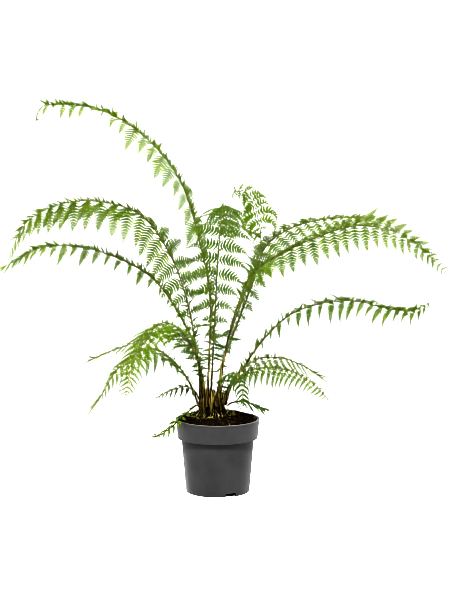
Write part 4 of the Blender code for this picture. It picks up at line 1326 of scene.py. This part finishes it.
stalkLook = {
    "from": 0.7, "step": 0.007, "swell": 0.3, "swellFade": 0.016, "fill": 0.90, "fillAbove": 1.05,
    "sunk": 0.42,
}


def fineOutline(mark, shape):
    # pinnule length over the longest: a body that narrows, then a slim tail
    look = leafletLook
    bodyEnd, fall = shape
    body = min(1.0, look["rootWidth"] + look["rootRise"] * mark) * (1 - min(1.0, mark / bodyEnd) ** fall)
    return max(body, look["tailWidth"] * (1 - mark))


def growLeaflet(guide, line, halfWidth, share, tint, cool, louvre=0.0, full=1.0, shape=(1.0, 1.2)):
    # pinnule places along one leaflet, closer toward its tip
    look = pinnuleLook
    pairs = max(look["fewest"], round(2 + line.length / look["pitch"] * look["perPitch"]))
    steps = [1 - (1 - (index + 0.5) / pairs) ** look["crowding"] for index in range(pairs)]
    marks = [0.0, *steps, 1.0]
    last = len(marks) - 1
    growth = look["ribLeast"] + look["ribGrowth"] * line.length
    for index, mark in enumerate(marks):
        point, face = line.at(mark, louvre)
        reach = halfWidth * fineOutline(mark, shape) if 0 < index < last else 0.0
        gap = marks[min(index + 1, last)] - marks[max(index - 1, 0)]
        guide.add(point, index > 0, bladeUp=face, reach=reach, share=share, outward=mark, leafTint=tint,
                  cool=cool, pitch=line.length * gap / 2 * full,
                  thickness=look["ribWidth"] * (look["ribTaper"] - mark) * growth,
                  tail=look["tail"] * line.length * (1 - mark) if index == last - 1 else 0.0,
                  pinnuleKind=sum(reach < limit for limit in look["lobeReach"]))


def growSmallLeaf(guide, rib, distance, side, along, root, aim, length, rule, tint, cool):
    # a short straight leaflet that hangs a little at its tip
    face = side * squared(along, aim).cross(aim)
    tip = root + (aim + hang(aim, rule["tipHang"])).normalized() * length
    spots = [root, root + aim * 0.5 * length, tip]
    growLeaflet(guide, Line(spots, [face] * 3), rule["widthInLength"] * length, distance / rib.length,
                tint, cool, full=rule["full"])


def growStalk(guide, rib, green):
    look = stalkLook
    start = frondRule["buried"] * look["from"]
    steps = round((rib.length - start) / look["step"])
    for step in range(steps + 1):
        distance = start + (rib.length - start) * step / steps
        middle, *_, up = rib.at(distance)
        half = rib.halfWidth(distance)
        swell = 1 + look["swell"] * math.exp(-(distance - start) / look["swellFade"])
        share = distance / rib.length
        fill = look["fill"] + (look["fillAbove"] - look["fill"]) * min(1.0, 2 * share)
        guide.add(middle - up * half * look["sunk"], step > 0, bladeUp=up, thickness=half * fill * swell,
                  share=share, stalk=1, cool=green)


def growFootLeaves(guide, rib, look, seed):
    # the stunted leaflets low on the stalk, which point every way
    rule = footLeafLook
    chance = random.Random(100 + seed)
    distance, end = rule["from"], look["bare"] * rib.length
    shortest, longest = rule["length"]
    while distance < end and rib.length >= rule["leastFrond"]:
        growth = (distance - rule["from"]) / max(end - rule["from"], 0.001)
        for side in (1, -1):
            if chance.random() < rule["missing"]:
                continue
            length = (shortest + (longest - shortest) * growth) * chance.uniform(*rule["grown"])
            middle, along, left, up = rib.at(distance + chance.uniform(*rule["unevenGap"]))
            level = between(side * left, up, chance.uniform(*rule["round"]))
            level = (level + along * chance.uniform(*rule["ahead"])).normalized()
            aim = hang(level, chance.uniform(*rule["hang"]))
            root = middle + squared(level, along) * rib.halfWidth(distance) * rule["rooted"]
            growSmallLeaf(guide, rib, distance, side, along, root, aim, length, rule,
                          chance.uniform(*rule["tints"]), max(look["cool"], rule["cool"]))
        distance += chance.uniform(*rule["gap"])


def growSpikes(guide, rib, look, seed):
    rule = spikeLook
    chance = random.Random(300 + seed)
    distance = rule["from"] * look["bare"] * rib.length
    while distance < rule["to"] * rib.length:
        share = distance / rib.length
        middle, along, left, up = rib.at(distance)
        turn = chance.uniform(*rule["round"]) * 0.5 * math.pi
        side = chance.choice((1, -1))
        level = between(side * left, up, turn)
        aim = (level + along * chance.uniform(*rule["ahead"])).normalized()
        length = chance.uniform(*rule["length"]) * look["spikes"] ** 0.5
        root = middle + level * rule["rooted"] * rib.halfWidth(distance)
        tint = chance.uniform(*rule["tints"]) + rule["tipward"] * (share - rule["paler"])
        growSmallLeaf(guide, rib, distance, side, along, root, aim, length, rule, tint, look["cool"])
        distance += chance.uniform(*rule["gap"]) / look["spikes"] * (rule["thinning"] - share)


def makeFrond(name, look, seed, left, right):
    node = "frond_" + name
    look = {**plainFrond, **look}
    rib = Rib(look)
    slot = slots[node]
    guide = Guide()
    growStalk(guide, rib, look["stalkGreen"])
    chance = random.Random(500 + seed)
    found = solidLeaflets(node, rib, look, seed)
    rule = leafletLook
    for leaflet, side, mark in found:
        hand = 0 if side > 0 else 1
        share = mark / rib.length
        size = rule["stunted"] if chance.random() < look["stunted"] else 1.0
        spots = [leaflet.spots[0].lerp(spot, size * look["long"]) for spot in leaflet.spots]
        tint = min(1.0, max(0.0, look["lime"] + chance.uniform(*rule["tints"])))
        # paler toward the tip, and painted shade that darkens a row of leaflets
        tint += rule["tipward"] * (share - rule["paler"]) - look["shade"][hand]
        louvre = side * rule["louvre"] + chance.uniform(-1, 1) * rule["unevenLouvre"]
        wide = rule["widen"] * look["wide"] * (1 - look["slimming"] * share ** 2)
        growLeaflet(guide, Line(spots, leaflet.faces), wide * size * leaflet.halfWidth, share, tint,
                    look["cool"], math.radians(louvre), look["full"][hand], look["shape"])
    growSpikes(guide, rib, look, seed)
    growFootLeaves(guide, rib, look, seed)
    made = applyTree("fine_" + node, guide.mesh(node + "_guide"), frondTree, {
        **pinnuleGrowth, "Left Pinnules": left, "Right Pinnules": right, "Seed": 40 * seed,
        "Leaf": finishes["leafLime" if slot == "frond_lime" else "leafGreen"], "Stalk": finishes["stalk"]})
    print(node, "leaflets", len(found), "of", 2 * look["pairs"])
    finishPiece("fine_" + node, made, node)
    return rib


def makeFronds():
    sets = [shapeCollection(name, [pinnuleMesh(name, lobes, side) for lobes in pinnuleLook["lobes"]])
            for name, side in (("leftPinnule", 1), ("rightPinnule", -1))]
    ribs = [makeFrond(name, look, seed, *sets) for seed, (name, look) in enumerate(fronds.items())]
    for collection in sets:
        dropCollection(collection)
    return ribs


# Crown

crownLook = {
    "radius": 0.0335, "rise": 0.0295, "lobes": 11, "lobeDepth": 0.05,
    "bump": 0.07, "bumpScale": 4, "roughness": (0.8, 2.0, 3),
    "scalyFrom": 0.026, "scalyLength": 0.045, "scalyBottom": 0.176, "scalyWidth": 1.5, "scalyTaper": 0.08,
    "scalyRings": 6, "scalySides": 6,
    "stubReach": 0.030, "stubRise": 0.4, "stubWidth": 0.085, "stubSides": 7, "stubSlant": 0.12,
    "stubBend": 0.05, "stubSwell": ((0.0, 1.35), (0.3, 1.0), (0.65, 0.85), (1.0, 0.7)),
}
crownStrewn = {
    "crownFibres": {"Density": 220000.0, "Seed": 6, "Least Size": 0.003, "Largest Size": 0.009,
                    "Upright": 0.6, "Outward": 0.25, "Jumble": 0.6},
    "crownStubs": {"Density": 11000.0, "Seed": 3, "Least Size": 0.024, "Largest Size": 0.048,
                   "Upright": 1.0, "Jumble": 0.22},
}


def stubMesh(seed):
    # the broken foot of an old stalk, 1 long along X, with a slanting end
    look = crownLook
    chance = random.Random(seed)
    turns = [math.tau * step / look["stubSides"] for step in range(look["stubSides"])]
    bm = bmesh.new()
    rows = []
    for share, swell in look["stubSwell"]:
        half = look["stubWidth"] * swell
        bend = chance.uniform(-look["stubBend"], look["stubBend"]) * share
        ends = [share + look["stubSlant"] * math.cos(turn) * share ** 3 for turn in turns]
        rows.append([bm.verts.new((end, bend + half * math.cos(turn), half * math.sin(turn)))
                     for end, turn in zip(ends, turns)])
    bridge(bm, rows)
    bm.faces.new(rows[0])
    bm.faces.new(rows[-1])
    bmesh.ops.triangulate(bm, faces=bm.faces)
    return smooth(closedMesh(bm, "stub"), 50)


def crownBall(detail):
    # a plain ball, and where each of its corners goes on the crown
    bm = bmesh.new()
    bmesh.ops.create_icosphere(bm, subdivisions=detail, radius=1.0)
    size = (crownLook["radius"], crownLook["radius"], crownLook["rise"])
    return bm, {corner: sized(corner.co, size) for corner in bm.verts}


def scalySkin(ribs):
    # the crown's top and the feet of the stalks, which fibres grow on
    look = crownLook
    bm, spots = crownBall(3)
    for corner, spot in spots.items():
        corner.co = spot
        corner.co += crownCentre
    low = [face for face in bm.faces if face.calc_center_median().z < look["scalyBottom"]]
    bmesh.ops.delete(bm, geom=low, context="FACES")
    for rib in ribs:
        rows = []
        reach = min(look["scalyLength"], 0.3 * rib.length)
        for step in range(look["scalyRings"] + 1):
            distance = look["scalyFrom"] + reach * step / look["scalyRings"]
            middle, _, left, up = rib.at(distance)
            half = rib.halfWidth(distance) * (look["scalyWidth"] - look["scalyTaper"] * step)
            middle = middle - up * rib.halfWidth(distance) * stalkLook["sunk"]
            turns = [math.tau * i / look["scalySides"] for i in range(look["scalySides"])]
            rows.append([bm.verts.new(middle + half * between(left, up, turn)) for turn in turns])
        bridge(bm, rows)
    return closedMesh(bm, "scalySkin")


def makeCrown(ribs):
    look = crownLook
    bm, spots = crownBall(5)
    for corner, spot in spots.items():
        angle = math.atan2(corner.co.y, corner.co.x)
        rough = noise.fractal(corner.co * look["bumpScale"], *look["roughness"])
        corner.co = spot
        corner.co *= 1 + look["lobeDepth"] * math.cos(look["lobes"] * angle) + look["bump"] * rough
        corner.co += crownCentre
    core = smooth(closedMesh(bm, "crownCore"), 60)
    finishPiece("crownCore", core, "crown", "fibre")
    fibres = [stripMesh(0.05, 0.03, 0.25), stripMesh(0.035, 0.025, -0.2, 0.2),
              stripMesh(0.07, 0.03, 0.1, -0.25)]
    strew("crownFibres", scalySkin(ribs), fibres, crownStrewn["crownFibres"], "fibre")
    bm = bmesh.new()
    bmesh.ops.create_circle(bm, cap_ends=True, segments=48, radius=look["stubReach"])
    stubFoot = crownCentre + Vector((0, 0, look["stubRise"] * look["rise"]))
    bmesh.ops.translate(bm, vec=stubFoot, verts=bm.verts)
    stubs = [stubMesh(seed) for seed in range(4)]
    strew("crownStubs", toMesh(bm, "stubBed"), stubs, crownStrewn["crownStubs"], "stalk")


makeCamera()
makeStudio()
makePot()
makeSoil()
makeCrown(makeFronds())
